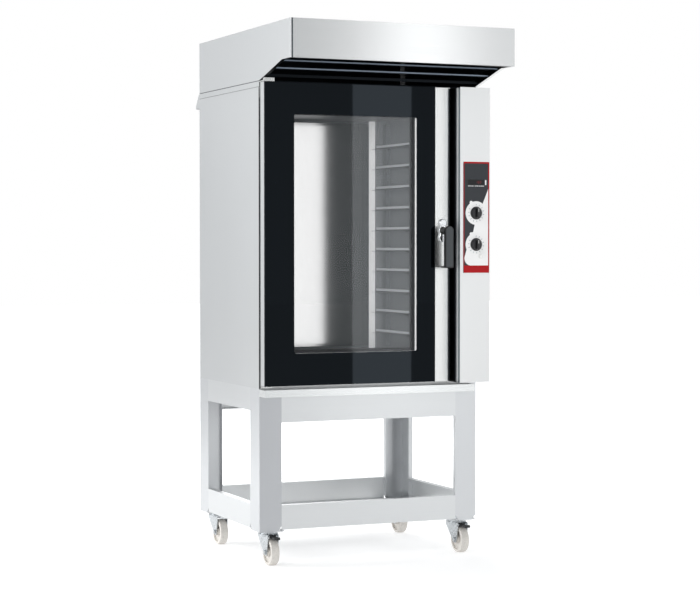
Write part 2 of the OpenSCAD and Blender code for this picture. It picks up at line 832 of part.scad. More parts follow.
// Hood of folded sheet, open below in front of the cabinet, with a lip along each lower edge
module hood_shell() {
    inner = skin_t + hood_lip;
    color(bright) place() difference() {
        union() {
            difference() {
                along_x(0, cab_w) polygon(hood_outline(0));
                along_x(skin_t, cab_w - skin_t) polygon(hood_outline(skin_t));
            }
            block([2 * skin_t, 2 * skin_t, z_top],
                  [cab_w - 2 * skin_t, cab_d - skin_t, z_top + seam + skin_t]);
        }
        // The open underside
        block([inner, -hood_over + hood_front_lip, z_top - 1], [cab_w - inner, -skin_t, z_lip + 2 * skin_t]);
        // The hole under the exhaust collar
        bar_z([cab_w / 2, collar_y, z_hood - 5], collar_d - 2 * collar_t, 10);
    }
}

// Slats in the sloping mouth, between two cheeks that rest on the hood's lips
module hood_slats() {
    edge = skin_t + hood_lip + loose_gap;
    cheek = 34;
    slat_t = 1.2;
    rise = skin_t * 1.03;
    run = slat_y + (slat_count - 1) * slat_pitch;
    color(dark) place() {
        for (right = [false, true]) on_side(right) along_x(skin_t + 4, 2 * skin_t + 4)
            polygon([[-run, slope_z(-run) + rise], [-6, slope_z(-6) + rise],
                     [-6, slope_z(-6) + cheek], [-run, slope_z(-run) + cheek]]);
        for (i = [0 : slat_count - 1]) {
            y = -slat_y - i * slat_pitch;
            z = slope_z(y);
            block([edge, y, z], [cab_w - edge, y + slat_t, z + slat_lip]);
            block([skin_t + 4, y, z + slat_lip - slat_t], [cab_w - skin_t - 4, y + slat_d, z + slat_lip]);
        }
    }
}
function slope_z(y) = z_top + seam - y * slope;

// Round spigot for the steam outlet
module exhaust_collar() {
    color(steel) place() difference() {
        union() {
            bar_z([cab_w / 2, collar_y, z_hood], collar_d, collar_h);
            bar_z([cab_w / 2, collar_y, z_hood], collar_d + 30, 2);
        }
        bar_z([cab_w / 2, collar_y, z_hood - 1], collar_d - 2 * collar_t, collar_h + 2);
    }
}

// Cowl behind the cabinet's top, closed at its ends and open below
module rear_cowl() {
    top = z_top - 4;
    low = top - cowl_h;
    color(steel) place() difference() {
        along_x(0, cab_w) polygon([[cab_d, top], [cab_d + 10, top], [cab_d + cowl_d, low + 12],
                                   [cab_d + cowl_d, low], [cab_d, low]]);
        along_x(skin_t, cab_w - skin_t)
            polygon([[cab_d + skin_t, top - skin_t], [cab_d + 10 - skin_t / 2, top - skin_t],
                     [cab_d + cowl_d - skin_t, low + 12 - skin_t / 2], [cab_d + cowl_d - skin_t, low - 1],
                     [cab_d + skin_t, low - 1]]);
    }
}

// Open trough under the door
module drip_gutter() {
    top = z_base - 2;
    color(bright) place() difference() {
        block([0, -gutter_d, top - gutter_h], [cab_w - gutter_short, 0, top]);
        block([skin_t, -gutter_d + skin_t, top - gutter_h + skin_t],
              [cab_w - gutter_short - skin_t, -skin_t, top + 1]);
    }
}

// Column of folded sheet in front of the technical room, open at its back
module control_column() {
    z0 = z_base + column_under;
    z1 = z_top - column_over;
    color(bright) place() difference() {
        block([column_x, -column_d, z0], [cab_w, 0, z1]);
        block([column_x + skin_t, -column_d + skin_t, z0 + skin_t], [cab_w - skin_t, 1, z1 - skin_t]);
        for (dz = [knob_hi, knob_lo])
            bar_y([knob_x, -column_d - 1, plate_bottom + dz], bush_d + 2 * loose_gap, skin_t + 2);
        bar_y([button_x, -column_d - 1, plate_bottom + button_z], bush_d + 2 * loose_gap, skin_t + 2);
        block([display_x, -column_d - 1, plate_bottom + display_z],
              [display_x + display_w, -column_d + skin_t + 1, plate_bottom + display_z + display_h]);
    }
}

// Printed control plate with a window for the display and bores for the stems
module control_plate() {
    color("#45484B") place() difference() {
        block([plate_x, plate_y, plate_bottom], [plate_x + plate_w, -column_d, plate_bottom + plate_h]);
        block([display_x, plate_y - 1, plate_bottom + display_z],
              [display_x + display_w, -column_d + 1, plate_bottom + display_z + display_h]);
        for (dz = [knob_hi, knob_lo])
            bar_y([knob_x, plate_y - 1, plate_bottom + dz], stem_d + 2 * run_gap, plate_t + 2);
        bar_y([button_x, plate_y - 1, plate_bottom + button_z], plunger_d + 2 * run_gap, plate_t + 2);
    }
}

// Display module behind its window
module display() {
    z0 = plate_bottom + display_z;
    z1 = z0 + display_h;
    x1 = display_x + display_w;
    back = -column_d + skin_t;
    color(black) place() {
        block([display_x + loose_gap, plate_y + 0.6, z0 + loose_gap], [x1 - loose_gap, back, z1 - loose_gap]);
        block([display_x - 6, back, z0 - 6], [x1 + 6, back + 18, z1 + 6]);
    }
}

// Bodies of the thermostat, the timer and the push switch behind the column's front
module control_switches() {
    body_y = -column_d + skin_t;
    color(dark) place() {
        for (dz = [knob_hi, knob_lo]) difference() {
            union() {
                translate([knob_x - switch_w / 2, body_y, plate_bottom + dz - switch_w / 2])
                    cube([switch_w, switch_d, switch_w]);
                bar_y([knob_x, -column_d, plate_bottom + dz], bush_d, skin_t + 1);
            }
            bar_y([knob_x, -column_d - 1, plate_bottom + dz], stem_d + 2 * run_gap, stem_bore_l);
        }
        difference() {
            union() {
                translate([button_x - push_w / 2, body_y, plate_bottom + button_z - push_w / 2])
                    cube([push_w, switch_d, push_w]);
                bar_y([button_x, -column_d, plate_bottom + button_z], bush_d, skin_t + 1);
            }
            bar_y([button_x, -column_d - 1, plate_bottom + button_z], plunger_d + 2 * run_gap, stem_bore_l);
        }
    }
}

// Knob with a skirt, a grip rib across it and a stem
module control_knob(dz) {
    skirt = 3;
    color(dark) place() translate([knob_x, plate_y - knob_lift, plate_bottom + dz]) rotate([90, 0, 0]) {
        cylinder(d = knob_d, h = skirt);
        translate([0, 0, skirt]) cylinder(d = knob_d - 7, h = knob_h * 0.45 - skirt);
        intersection() {
            cylinder(d = knob_d - 7, h = knob_h);
            translate([-5, -knob_d / 2, 0]) cube([10, knob_d, knob_h]);
        }
        translate([0, 0, -stem_l]) cylinder(d = stem_d, h = stem_l + 1);
    }
}

// White push button with its plunger
module steam_button() {
    color("#F2F2F2") place() translate([button_x, plate_y, plate_bottom + button_z]) rotate([90, 0, 0]) {
        translate([0, 0, button_travel + loose_gap]) cylinder(d = button_d, h = button_out);
        translate([0, 0, -plunger_l]) cylinder(d = plunger_d, h = plunger_l + button_travel + 1);
    }
}

// Cup behind the front frame that the latch turns in, with its flange
module latch_keeper() {
    color(bright) place() difference() {
        union() {
            bar_y([hand_x, -1, hand_z], 2 * (cup_r + skin_t + 2), 1);
            bar_y([hand_x, 0, hand_z], 2 * (cup_r + skin_t) - 0.2, cup_d);
        }
        bar_y([hand_x, -2, hand_z], 2 * cup_r, cup_d + 2 - skin_t);
    }
}

// Hinge brackets fixed to the front frame, each with the pin that the door hangs on
module door_hinges() {
    door_top = door_z + door_h;
    boss_h = 13;
    color(bright) place() {
        block([0, door_y, door_top + bracket_gap], [bracket_w, door_y + 14, door_top + bracket_gap + boss_h]);
        block([0, door_y, door_top + bracket_gap], [bracket_w, 0, door_top + bracket_gap + 4]);
        block([skin_t, -3, z_cover - 40], [bracket_w, 0, door_top + bracket_gap + 4]);
        bar_z([pivot_x, pivot_y, door_top - hinge_pin_l], hinge_pin_d, hinge_pin_l + bracket_gap + 4);
        block([3, door_y, door_z - 4 - bracket_gap], [30, 0, door_z - bracket_gap]);
        block([3, -3, z_base], [30, 0, z_base + 60]);
        bar_z([pivot_x, pivot_y, door_z - 3 - bracket_gap], hinge_pin_d, hinge_pin_l + bracket_gap + 3);
    }
}

// Threaded pipe end for the steam water, and the gland of the supply cable
module water_inlet() {
    flange = 4;
    color("#B9A15A") place() difference() {
        union() {
            bar_y([fitting_x, cab_d - skin_t - inlet_in, inlet_z], inlet_d,
                  inlet_in + skin_t + flange + inlet_l);
            translate([fitting_x, cab_d, inlet_z]) rotate([-90, 0, 0])
                cylinder(d = inlet_d * 1.45, h = flange, $fn = 6);
        }
        bar_y([fitting_x, cab_d - skin_t - inlet_in - 1, inlet_z], inlet_bore,
              inlet_in + flange + inlet_l + 8);
    }
}
module cable_gland() {
    inner_l = 12;
    nut_d = gland_thread + 9;
    color(dark) place() difference() {
        union() {
            bar_y([fitting_x, cab_d - skin_t - inner_l, gland_z], gland_thread, inner_l + skin_t + 1);
            translate([fitting_x, cab_d, gland_z]) rotate([-90, 0, 0]) cylinder(d = nut_d, h = 8, $fn = 6);
            bar_y([fitting_x, cab_d, gland_z], gland_thread + 3, 20);
            translate([fitting_x, cab_d - skin_t - 5, gland_z]) rotate([-90, 0, 0])
                cylinder(d = nut_d, h = 5, $fn = 6);
        }
        bar_y([fitting_x, cab_d - skin_t - inner_l - 1, gland_z], gland_bore, inner_l + skin_t + 22);
    }
}

// Door tray: a front ring with outer walls and window walls, open at the back
module door_frame() {
    back = -door_gap - skin_t;
    pad_d = hinge_pin_d + 12;
    win_low = [window_x, window_z];
    win_high = [window_x + window_w, window_z + window_h];
    color(steel) place() difference() {
        union() {
            difference() {
                block([door_x, tray_front, door_z], [door_x + frame_w, back, door_z + door_h]);
                block([door_x + skin_t, tray_front + skin_t, door_z + skin_t],
                      [door_x + frame_w - skin_t, back + 1, door_z + door_h - skin_t]);
                block([window_x, tray_front - 1, window_z],
                      [window_x + window_w, tray_front + skin_t + 1, window_z + window_h]);
            }
            ring_plate([window_x - skin_t, tray_front, window_z - skin_t],
                       [window_x + window_w + skin_t, back, window_z + window_h + skin_t], win_low, win_high);
            for (z = [door_z, door_z + door_h - hinge_pin_l - 4])
                block([door_x, tray_front, z], [door_x + hinge_x + pad_d / 2, back, z + hinge_pin_l + 4]);
        }
        for (z = [door_z - 1, door_z + door_h - hinge_pin_l - 2])
            bar_z([pivot_x, pivot_y, z], hinge_pin_d + 2 * run_gap, hinge_pin_l + 3);
        bar_y([hand_x, tray_front - 1, hand_z], spindle_d + 2 * run_gap, skin_t + 2);
    }
}

// Flat ring that closes the door's back
module door_back_panel() {
    color(steel) place() difference() {
        ring_plate([door_x, -door_gap - skin_t, door_z], [door_x + frame_w, -door_gap, door_z + door_h],
                   [window_x + inner_lap, window_z + inner_lap],
                   [window_x + window_w - inner_lap, window_z + window_h - inner_lap]);
        bar_y([hand_x, -door_gap - skin_t - 1, hand_z], spindle_d + 2 * run_gap, skin_t + 2);
    }
}

module door_outer_glass() {
    color([0.1, 0.1, 0.12, 0.6]) place()
        block([door_x, door_y, door_z], [door_x + glass_w, door_y + glass_t, door_z + door_h]);
}

// Inner pane, seated inside the window walls against the back ring
module door_inner_glass() {
    y1 = -door_gap - skin_t;
    color([0.6, 0.65, 0.68, 0.4]) place()
        block([window_x + loose_gap, y1 - inner_glass_t, window_z + loose_gap],
              [window_x + window_w - loose_gap, y1, window_z + window_h - loose_gap]);
}

// Steel edge beside the glass, flat in front and rounded to the side, with a hollow back
module door_edge_profile() {
    x0 = door_x + door_w - edge_w;
    x1 = door_x + door_w;
    wall = 2;
    color(bright) place() difference() {
        union() {
            block([x0, door_y, door_z], [x1 - edge_r, -door_gap, door_z + door_h]);
            block([x1 - edge_r - 1, door_y + edge_r, door_z], [x1, -door_gap, door_z + door_h]);
            bar_z([x1 - edge_r, door_y + edge_r, door_z], 2 * edge_r, door_h);
        }
        block([x0 - 1, tray_front, door_z - 1], [door_x + frame_w, 0, door_z + door_h + 1]);
        block([x1 - edge_r + wall, door_y + edge_r, door_z + wall], [x1 - wall, 0, door_z + door_h - wall]);
        bar_y([hand_x, door_y - 1, hand_z], spindle_d + 2 * run_gap, glass_t + 2);
    }
}

// Chrome oval plate that the lever turns in
module handle_rosette() {
    mid = rosette_h / 2 - rosette_w / 2;
    color(bright) place() translate([hand_x, door_y, hand_z]) rotate([90, 0, 0]) difference() {
        union() {
            for (s = [-1, 1]) translate([0, s * mid, 0]) cylinder(d = rosette_w, h = rosette_t);
            translate([-rosette_w / 2, -mid, 0]) cube([rosette_w, 2 * mid, rosette_t]);
        }
        translate([0, 0, rosette_floor]) cylinder(d = neck_d + 2 * loose_gap, h = rosette_t);
        translate([0, 0, -1]) cylinder(d = spindle_d + 2 * run_gap, h = rosette_t);
        translate([0, -rosette_drop - neck_d, 6]) cylinder(d = 14, h = rosette_t);
    }
}

// Lever handle: neck, flat lever with a round top, and a foot bent towards the door
module door_handle() {
    back = lever_out - lever_t;
    neck_l = back - rosette_floor - loose_gap;
    foot = 14;
    r = lever_w / 2;
    color(black) place() translate([hand_x, door_y, hand_z]) rotate([90, 0, 0]) {
        translate([0, 0, rosette_floor + loose_gap]) cylinder(d = neck_d, h = neck_l + 1);
        translate([0, 0, back]) cylinder(r = r, h = lever_t);
        translate([-r, r - lever_l, back]) cube([lever_w, lever_l - r, lever_t]);
        translate([-r, r - lever_l, back - foot]) cube([lever_w, 5, foot + 1]);
    }
}

// Spindle through the door with the latch tongue on its inner end
module latch_cam() {
    color(zinc) place() {
        bar_y([hand_x, door_y - rosette_floor - loose_gap, hand_z], spindle_d,
              rosette_floor + loose_gap + door_t + cam_l);
        block([hand_x - cam_w / 2, cam_l - door_gap - 6, hand_z - cam_r + 1.5],
              [hand_x + cam_w / 2, cam_l - door_gap, hand_z]);
    }
}

stand_leg(false, false);  // stand_leg_front_left
stand_leg(true, false);  // stand_leg_front_right
stand_leg(false, true);  // stand_leg_rear_left
stand_leg(true, true);  // stand_leg_rear_right
stand_top_rails();
stand_low_rails();
castor_gussets();
castor_tops();
castor_fork(false, false);  // castor_fork_fl
castor_fork(true, false);  // castor_fork_fr
castor_fork(false, true);  // castor_fork_rl
castor_fork(true, true);  // castor_fork_rr
castor_wheel(false, false);  // castor_wheel_fl
castor_wheel(true, false);  // castor_wheel_fr
castor_wheel(false, true);  // castor_wheel_rl
castor_wheel(true, true);  // castor_wheel_rr
castor_brake(false);  // castor_brake_fl
castor_brake(true);  // castor_brake_fr
side_panel(false);  // side_panel_left
side_panel(true);  // side_panel_right
back_panel();
top_panel();
base_pan();
front_frame();
cavity_liner();
insulation();
door_seal();
fan_baffle();
air_strips();
tray_rack(false);  // rack_left
tray_rack(true);  // rack_right
heating_elements();
fan_motors();
cavity_fan(fan_z[1]);  // upper_fan
cavity_fan(fan_z[0]);  // lower_fan
cavity_lamp();
hood_shell();
hood_slats();
exhaust_collar();
rear_cowl();
drip_gutter();
control_column();
control_plate();
display();
control_switches();
control_knob(knob_hi);  // temperature_knob
control_knob(knob_lo);  // timer_knob
steam_button();
latch_keeper();
door_hinges();
water_inlet();
cable_gland();
door_frame();
door_back_panel();
door_outer_glass();
door_inner_glass();
door_edge_profile();
door_handle();
latch_cam();
handle_rosette();
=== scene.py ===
"""Dresses the convection oven on its stand: finishes, prints, seals, lever, knobs and fastenings."""
import math

import bmesh
import bpy
from mathutils import Matrix, Vector


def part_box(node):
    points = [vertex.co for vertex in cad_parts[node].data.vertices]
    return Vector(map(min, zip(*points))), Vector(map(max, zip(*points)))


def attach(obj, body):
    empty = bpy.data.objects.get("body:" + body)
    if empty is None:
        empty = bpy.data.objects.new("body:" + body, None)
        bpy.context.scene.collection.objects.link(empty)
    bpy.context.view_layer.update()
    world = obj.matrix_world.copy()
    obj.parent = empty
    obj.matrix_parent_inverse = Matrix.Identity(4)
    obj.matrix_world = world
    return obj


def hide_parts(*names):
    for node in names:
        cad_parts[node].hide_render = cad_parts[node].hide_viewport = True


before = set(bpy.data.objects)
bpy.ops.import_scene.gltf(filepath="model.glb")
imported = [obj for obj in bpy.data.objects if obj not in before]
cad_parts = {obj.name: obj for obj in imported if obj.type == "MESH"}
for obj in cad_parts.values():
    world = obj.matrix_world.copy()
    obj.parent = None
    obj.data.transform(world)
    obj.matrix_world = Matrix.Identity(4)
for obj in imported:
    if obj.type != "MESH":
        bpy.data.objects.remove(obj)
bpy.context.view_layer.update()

MM = 0.001
OVEN = "oven"

# Places that several pieces share, all read from the solids
glass_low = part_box("door_outer_glass")[0]
pane_low, pane_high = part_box("door_inner_glass")
plate_low, plate_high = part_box("control_plate")
column_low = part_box("control_column")[0]
liner_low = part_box("cavity_liner")[0]
frame_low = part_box("front_frame")[0]
hood_low, hood_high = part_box("hood_shell")
back_low, back_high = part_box("back_panel")
lever_low, lever_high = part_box("door_handle")
rosette_low, rosette_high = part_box("handle_rosette")

# The liner's sheet, then the rails: the first one's height over the liner's floor, and their pitch
WALL = 1.5 * MM
RACK_FIRST = 67 * MM
RACK_PITCH = 82.2 * MM


# Materials

def colour(code):
    """A linear colour, with alpha, from an sRGB hex code."""
    parts = [int(code[i:i + 2], 16) / 255 for i in (1, 3, 5)]
    return [v / 12.92 if v <= 0.04045 else ((v + 0.055) / 1.055) ** 2.4 for v in parts] + [1.0]


def add(tree, kind, inputs=None, **settings):
    """Adds a shader node. An input is set to a value or linked from a socket."""
    made = tree.nodes.new("ShaderNode" + kind)
    for name, value in settings.items():
        setattr(made, name, value)
    for name, value in (inputs or {}).items():
        if isinstance(value, bpy.types.NodeSocket):
            tree.links.new(value, made.inputs[name])
        else:
            made.inputs[name].default_value = value
    return made


def new_material(name, code, roughness, metallic=0.0, **sockets):
    """A material with one main shader. Further sockets are given with _ for a space."""
    made = bpy.data.materials.new(name)
    made.use_nodes = True
    tree = made.node_tree
    shader = tree.nodes["Principled BSDF"]
    shader.inputs["Base Color"].default_value = colour(code)
    shader.inputs["Roughness"].default_value = roughness
    shader.inputs["Metallic"].default_value = metallic
    for key, value in sockets.items():
        shader.inputs[key.replace("_", " ")].default_value = value
    return made, tree, shader


def tone_by(tree, shader, code, value, low, high):
    """Links the base colour, made darker and lighter by a pattern's value."""
    factor = add(tree, "MapRange", {"Value": value, "From Min": 0.3, "From Max": 0.7,
                                    "To Min": low, "To Max": high})
    toned = add(tree, "VectorMath", {0: colour(code)[:3], "Scale": factor.outputs[0]}, operation="SCALE")
    tree.links.new(toned.outputs["Vector"], shader.inputs["Base Color"])


def vary_roughness(tree, shader, value, low, high):
    """Links the roughness to a pattern's value."""
    spread = add(tree, "MapRange", {"Value": value, "From Min": 0.3, "From Max": 0.7,
                                    "To Min": low, "To Max": high})
    tree.links.new(spread.outputs[0], shader.inputs["Roughness"])


def bump_by(tree, shader, height, depth_mm, strength):
    """Links a fine relief of that depth."""
    bump = add(tree, "Bump", {"Height": height, "Distance": depth_mm * MM, "Strength": strength})
    tree.links.new(bump.outputs["Normal"], shader.inputs["Normal"])


def brushed_steel(name, code, roughness, grain, contrast=0.015, metallic=1.0, streak_mm=3.0, run_mm=420.0):
    """Stainless sheet with a ground finish: long streaks along the grain and slow clouds in its tone.

    Real grit lines are about 0.2 mm wide. They are drawn streak_mm wide so that they show.
    """
    made, tree, shader = new_material(name, code, roughness, metallic)
    across, along = 1 / (streak_mm * MM), 1 / (run_mm * MM)
    stretch = {"level": (along, along, across), "upright": (across, across, along),
               "deep": (across, along, across)}[grain]
    place = add(tree, "TexCoord").outputs["Object"]
    ground = add(tree, "Mapping", {"Vector": place, "Scale": stretch})
    streaks = add(tree, "TexNoise", {"Vector": ground.outputs[0], "Scale": 1.0, "Detail": 3.0,
                                     "Roughness": 0.6})
    cloud_mm = 240.0
    clouds = add(tree, "TexNoise", {"Vector": place, "Scale": 1 / (cloud_mm * MM), "Detail": 1.0})
    mixed = add(tree, "Math", {0: streaks.outputs[0], 1: clouds.outputs[0]}, operation="ADD")
    half = add(tree, "Math", {0: mixed.outputs[0], 1: 0.5}, operation="MULTIPLY")
    tone_by(tree, shader, code, half.outputs[0], 1 - contrast, 1 + contrast)
    vary_roughness(tree, shader, streaks.outputs[0], roughness - 0.015, roughness + 0.02)
    bump_by(tree, shader, streaks.outputs[0], 0.01, 0.03)
    return made


def region(tree, **spans):
    """1 inside the spans given for some axes, 0 outside them."""
    split = add(tree, "SeparateXYZ", {0: add(tree, "TexCoord").outputs["Object"]})
    whole = None
    for axis, (low, high) in spans.items():
        mask = add(tree, "Math", {0: split.outputs[axis.upper()], 1: (low + high) / 2, 2: (high - low) / 2},
                   operation="COMPARE").outputs[0]
        whole = add(tree, "Math", {0: whole, 1: mask}, operation="MULTIPLY").outputs[0] if whole else mask
    return whole


def repeats(tree, axis, first, pitch, low, high):
    """1 in bands that repeat along an axis, each from low to high beyond its start, 0 between them."""
    split = add(tree, "SeparateXYZ", {0: add(tree, "TexCoord").outputs["Object"]})
    away = add(tree, "Math", {0: split.outputs[axis], 1: first + low}, operation="SUBTRACT")
    along = add(tree, "Math", {0: away.outputs[0], 1: pitch}, operation="MODULO")
    half = (high - low) / 2
    return add(tree, "Math", {0: along.outputs[0], 1: half, 2: half}, operation="COMPARE").outputs[0]


def faces_front(tree):
    """1 on faces that look to the front."""
    split = add(tree, "SeparateXYZ", {0: add(tree, "NewGeometry").outputs["Normal"]})
    return add(tree, "Math", {0: split.outputs["Y"], 1: -0.9}, operation="LESS_THAN").outputs[0]


def shade_where(made, mask, code, roughness=None, metallic=None):
    """Gives a surface another tone where a mask is 1, and another gloss and metal share if they are given."""
    tree = made.node_tree
    shader = tree.nodes["Principled BSDF"]
    tone = add(tree, "Mix", {0: mask, 6: shader.inputs["Base Color"].links[0].from_socket, 7: colour(code)},
               data_type="RGBA")
    tree.links.new(tone.outputs[2], shader.inputs["Base Color"])
    if roughness is not None:
        gloss = add(tree, "Mix", {0: mask, 2: shader.inputs["Roughness"].links[0].from_socket, 3: roughness})
        tree.links.new(gloss.outputs[0], shader.inputs["Roughness"])
    if metallic is not None:
        share = add(tree, "Mix", {0: mask, 2: shader.inputs["Metallic"].default_value, 3: metallic})
        tree.links.new(share.outputs[0], shader.inputs["Metallic"])


def moulded(name, code, roughness, grain_mm, contrast=0.06, depth_mm=0.03, **sockets):
    """Moulded or painted surface with a fine even grain."""
    made, tree, shader = new_material(name, code, roughness, **sockets)
    place = add(tree, "TexCoord").outputs["Object"]
    grain = add(tree, "TexNoise", {"Vector": place, "Scale": 1 / (grain_mm * MM), "Detail": 2.0})
    tone_by(tree, shader, code, grain.outputs[0], 1 - contrast, 1 + contrast)
    vary_roughness(tree, shader, grain.outputs[0], roughness - 0.04, roughness + 0.05)
    bump_by(tree, shader, grain.outputs[0], depth_mm, 0.25)
    return made


# Ground stainless sheet: soft broad reflections, streaks along the grain
edge_steel = brushed_steel("ground_stainless_door_edge", "#D6D7D6", 0.26, "upright", 0.006)
rail_steel = brushed_steel("ground_stainless_rails", "#D2D4D5", 0.32, "level", 0.015)
gutter_steel = brushed_steel("ground_stainless_gutter", "#DEE0E0", 0.28, "level", 0.015)
# Sheet inside the oven: dull and dark
cavity_steel = brushed_steel("dull_dark_cavity_sheet", "#4B4E51", 0.48, "level", 0.012, metallic=0.2)
# Satin sheet of the strips that turn the air: light and almost without gloss
turner_steel = brushed_steel("satin_air_strip_sheet", "#DCDCDC", 0.55, "upright", 0.01, metallic=0.2)


def casing_sheet():
    """Ground stainless casing. The front edge of its left side is painted dark, as the shade in the gap
    behind the door.
    """
    made = brushed_steel("ground_stainless_casing", "#C6C8C9", 0.36, "upright", 0.012)
    low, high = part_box("side_panel_left")
    gap = 5 * MM
    # Painted shade: a 5 mm strip on the left side's front edge, as dark as the gap behind the door.
    edge = region(made.node_tree, x=(low.x - MM, low.x + MM), y=(low.y - MM, low.y + gap), z=(low.z, high.z))
    shade_where(made, edge, "#3A3C3E", 0.5)
    return made


def leg_sheet():
    """Ground stainless legs. The front of the left one is painted darker than the others, as painted shade.
    """
    made = brushed_steel("ground_stainless_legs", "#CCCED0", 0.34, "upright", 0.015)
    low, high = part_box("stand_leg_front_left")
    # Painted shade: the front of the front left leg is painted darker.
    front = region(made.node_tree, x=(low.x - MM, high.x + MM), y=(low.y - MM, low.y + MM))
    shade_where(made, front, "#B9BBBE")
    return made


def hood_sheet():
    """Ground stainless hood: a painted highlight on the fold and a dark seam at the front's left end, and
    painted shade inside.

    The hood's inside and the band over the door never see the light, and they are painted near black as
    shade.
    """
    made = brushed_steel("ground_stainless_hood", "#D2D3D3", 0.225, "level", 0.008)
    tree = made.node_tree
    skin = 0.5 * MM
    band_low, band_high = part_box("top_panel")
    lip = 13 * MM
    dark = "#191C1F"
    inner = {"y": (hood_low.y + skin, hood_high.y - skin), "z": (band_high.z - skin, hood_high.z - skin)}
    # Painted shade: the hood's inside is painted near black.
    shade_where(made, region(tree, x=(hood_low.x + skin, hood_high.x - lip), **inner), dark, 0.4)
    # Painted shade: the front of the band over the door is painted near black.
    band_front_painted_shade = region(tree, x=(band_low.x + skin, band_high.x - skin),
                        y=(band_low.y - skin, band_low.y + skin), z=(band_low.z, band_high.z))
    shade_where(made, band_front_painted_shade, dark, 0.4)
    front = {"y": (hood_low.y - skin, hood_low.y + skin), "z": (hood_low.z, hood_high.z)}
    fold, seam = 4 * MM, 6.5 * MM
    # Painted highlight: the fold at the front's left end is painted white.
    shade_where(made, region(tree, x=(hood_low.x, hood_low.x + fold), **front), "#FFFFFF")
    shade_where(made, region(tree, x=(hood_low.x + fold, hood_low.x + fold + seam), **front), "#5E6367")
    for x in (hood_low.x, hood_high.x):
        shade_where(made, region(tree, x=(x - skin, x + skin)), "#C5C7C8", 0.36)
    joint = 1.6 * MM
    for z in (band_low.z, band_high.z):
        side_joint = region(tree, x=(band_low.x - skin, band_low.x + skin), z=(z - joint, z + joint))
        shade_where(made, side_joint, "#6E7174")
    return made


def column_sheet():
    """Ground stainless column and frame.

    The column's left side, next to the door, carries a painted reflection of the door's edge in upright
    bands. The frame has painted shade on its front at the left, in its joint with the door.
    """
    made = brushed_steel("ground_stainless_column", "#D6D7D7", 0.33, "upright", 0.006)
    tree = made.node_tree
    skin = 0.5 * MM
    # Painted reflection of the door's edge: each band's near and far side, in millimetres behind the column's
    # front, and its tone
    bands = ((0.3, 15, "#8E989F"), (15, 27, "#FFFFFF"), (27, 35, "#A8ADB2"), (35, 120, "#2B2F33"))
    for near, far, code in bands:
        band = region(tree, x=(column_low.x - skin, column_low.x + skin),
                      y=(column_low.y + near * MM, column_low.y + far * MM))
        shade_where(made, band, code, 0.3)
    # Painted shade: the frame's front is painted dark over 8 mm on its left, beside the door.
    joint = 8 * MM
    shade_where(made, region(tree, x=(frame_low.x - skin, frame_low.x + joint),
                             y=(frame_low.y - skin, frame_low.y + skin)), "#1E2022", 0.5)
    return made


def slat_sheet():
    """Stainless slats painted dark as shade, with a painted highlight on their front lips."""
    made = brushed_steel("shaded_stainless_slats", "#1A1D20", 0.28, "level", 0.02)
    tree = made.node_tree
    lip, rise = 10 * MM, 19.98 * MM
    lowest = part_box("hood_slats")[1].z - lip - 2 * rise
    # Painted highlight on the lips' front faces. The sheet's own tone is painted dark as the shade under the
    # hood.
    edge = repeats(tree, "Z", lowest, rise, -1 * MM, 3.5 * MM)
    lip_painted_highlight = add(tree, "Math", {0: edge, 1: faces_front(tree)}, operation="MULTIPLY")
    shade_where(made, lip_painted_highlight.outputs[0], "#94A2B2", 0.4, 0.5)
    return made


def baffle_sheet():
    """Polished baffle and deflector plate, in a dark tone."""
    return brushed_steel("polished_baffle_sheet", "#232323", 0.24, "upright", 0.004)


def rack_sheet():
    """Rack sheet: light leaves, with painted shade along the shelves' edges, on the faces to the front and on
    the narrow webs.
    """
    made = brushed_steel("rack_sheet_painted_shade", "#B0B3B6", 0.44, "deep", 0.012, metallic=0.3)
    tree = made.node_tree
    # Painted shade along the shelves' edges.
    edge = repeats(tree, "Z", liner_low.z + WALL + RACK_FIRST, RACK_PITCH, -2.5 * MM, 4.5 * MM)
    shade_where(made, edge, "#1E2124", 0.5)
    # Painted shade on the faces that look to the front.
    shade_where(made, faces_front(tree), "#3A3D40", 0.5)
    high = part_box("rack_right")[1]
    web, skin = 20 * MM, 0.5 * MM
    near, far = high.y - 95 * MM, high.y - 55 * MM
    # Painted shade on the narrow webs near the front.
    for x in (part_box("rack_left")[0].x + web, high.x - web):
        shade_where(made, region(tree, x=(x - skin, x + skin), y=(near, far)), "#303336", 0.5)
    return made


def door_sheet():
    """Ground stainless door tray: the walls round the window have a painted highlight in front and painted
    shade further in.

    The rear of its left side is painted dark, as the shade in the gap to the casing.
    """
    made = brushed_steel("ground_stainless_door_tray", "#C6C8C9", 0.34, "upright", 0.012)
    tree = made.node_tree
    low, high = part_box("door_frame")
    reach, lit = 3 * MM, 14 * MM
    inside = {"x": (pane_low.x - reach, pane_high.x + reach), "z": (pane_low.z - reach, pane_high.z + reach)}
    # Painted shade on the walls round the window, and a white painted highlight on their front 14 mm, which
    # window_left also lights.
    shade_where(made, region(tree, **inside), "#727578", 0.5)
    shade_where(made, region(tree, y=(low.y - reach, low.y + lit), **inside), "#FFFFFF", 0.5, 0.1)
    skin, gap = 0.5 * MM, 3 * MM
    # Painted shade: the rear 3 mm of the left side, as dark as the gap to the casing.
    side_gap_painted_shade = region(tree, x=(low.x - skin, low.x + skin), y=(high.y - gap, high.y))
    shade_where(made, side_gap_painted_shade, "#2A2C2E", 0.4)
    return made


casing_steel = casing_sheet()
leg_steel = leg_sheet()
hood_steel = hood_sheet()
column_steel = column_sheet()
slat_steel = slat_sheet()
baffle_steel = baffle_sheet()
rack_steel = rack_sheet()
door_steel = door_sheet()


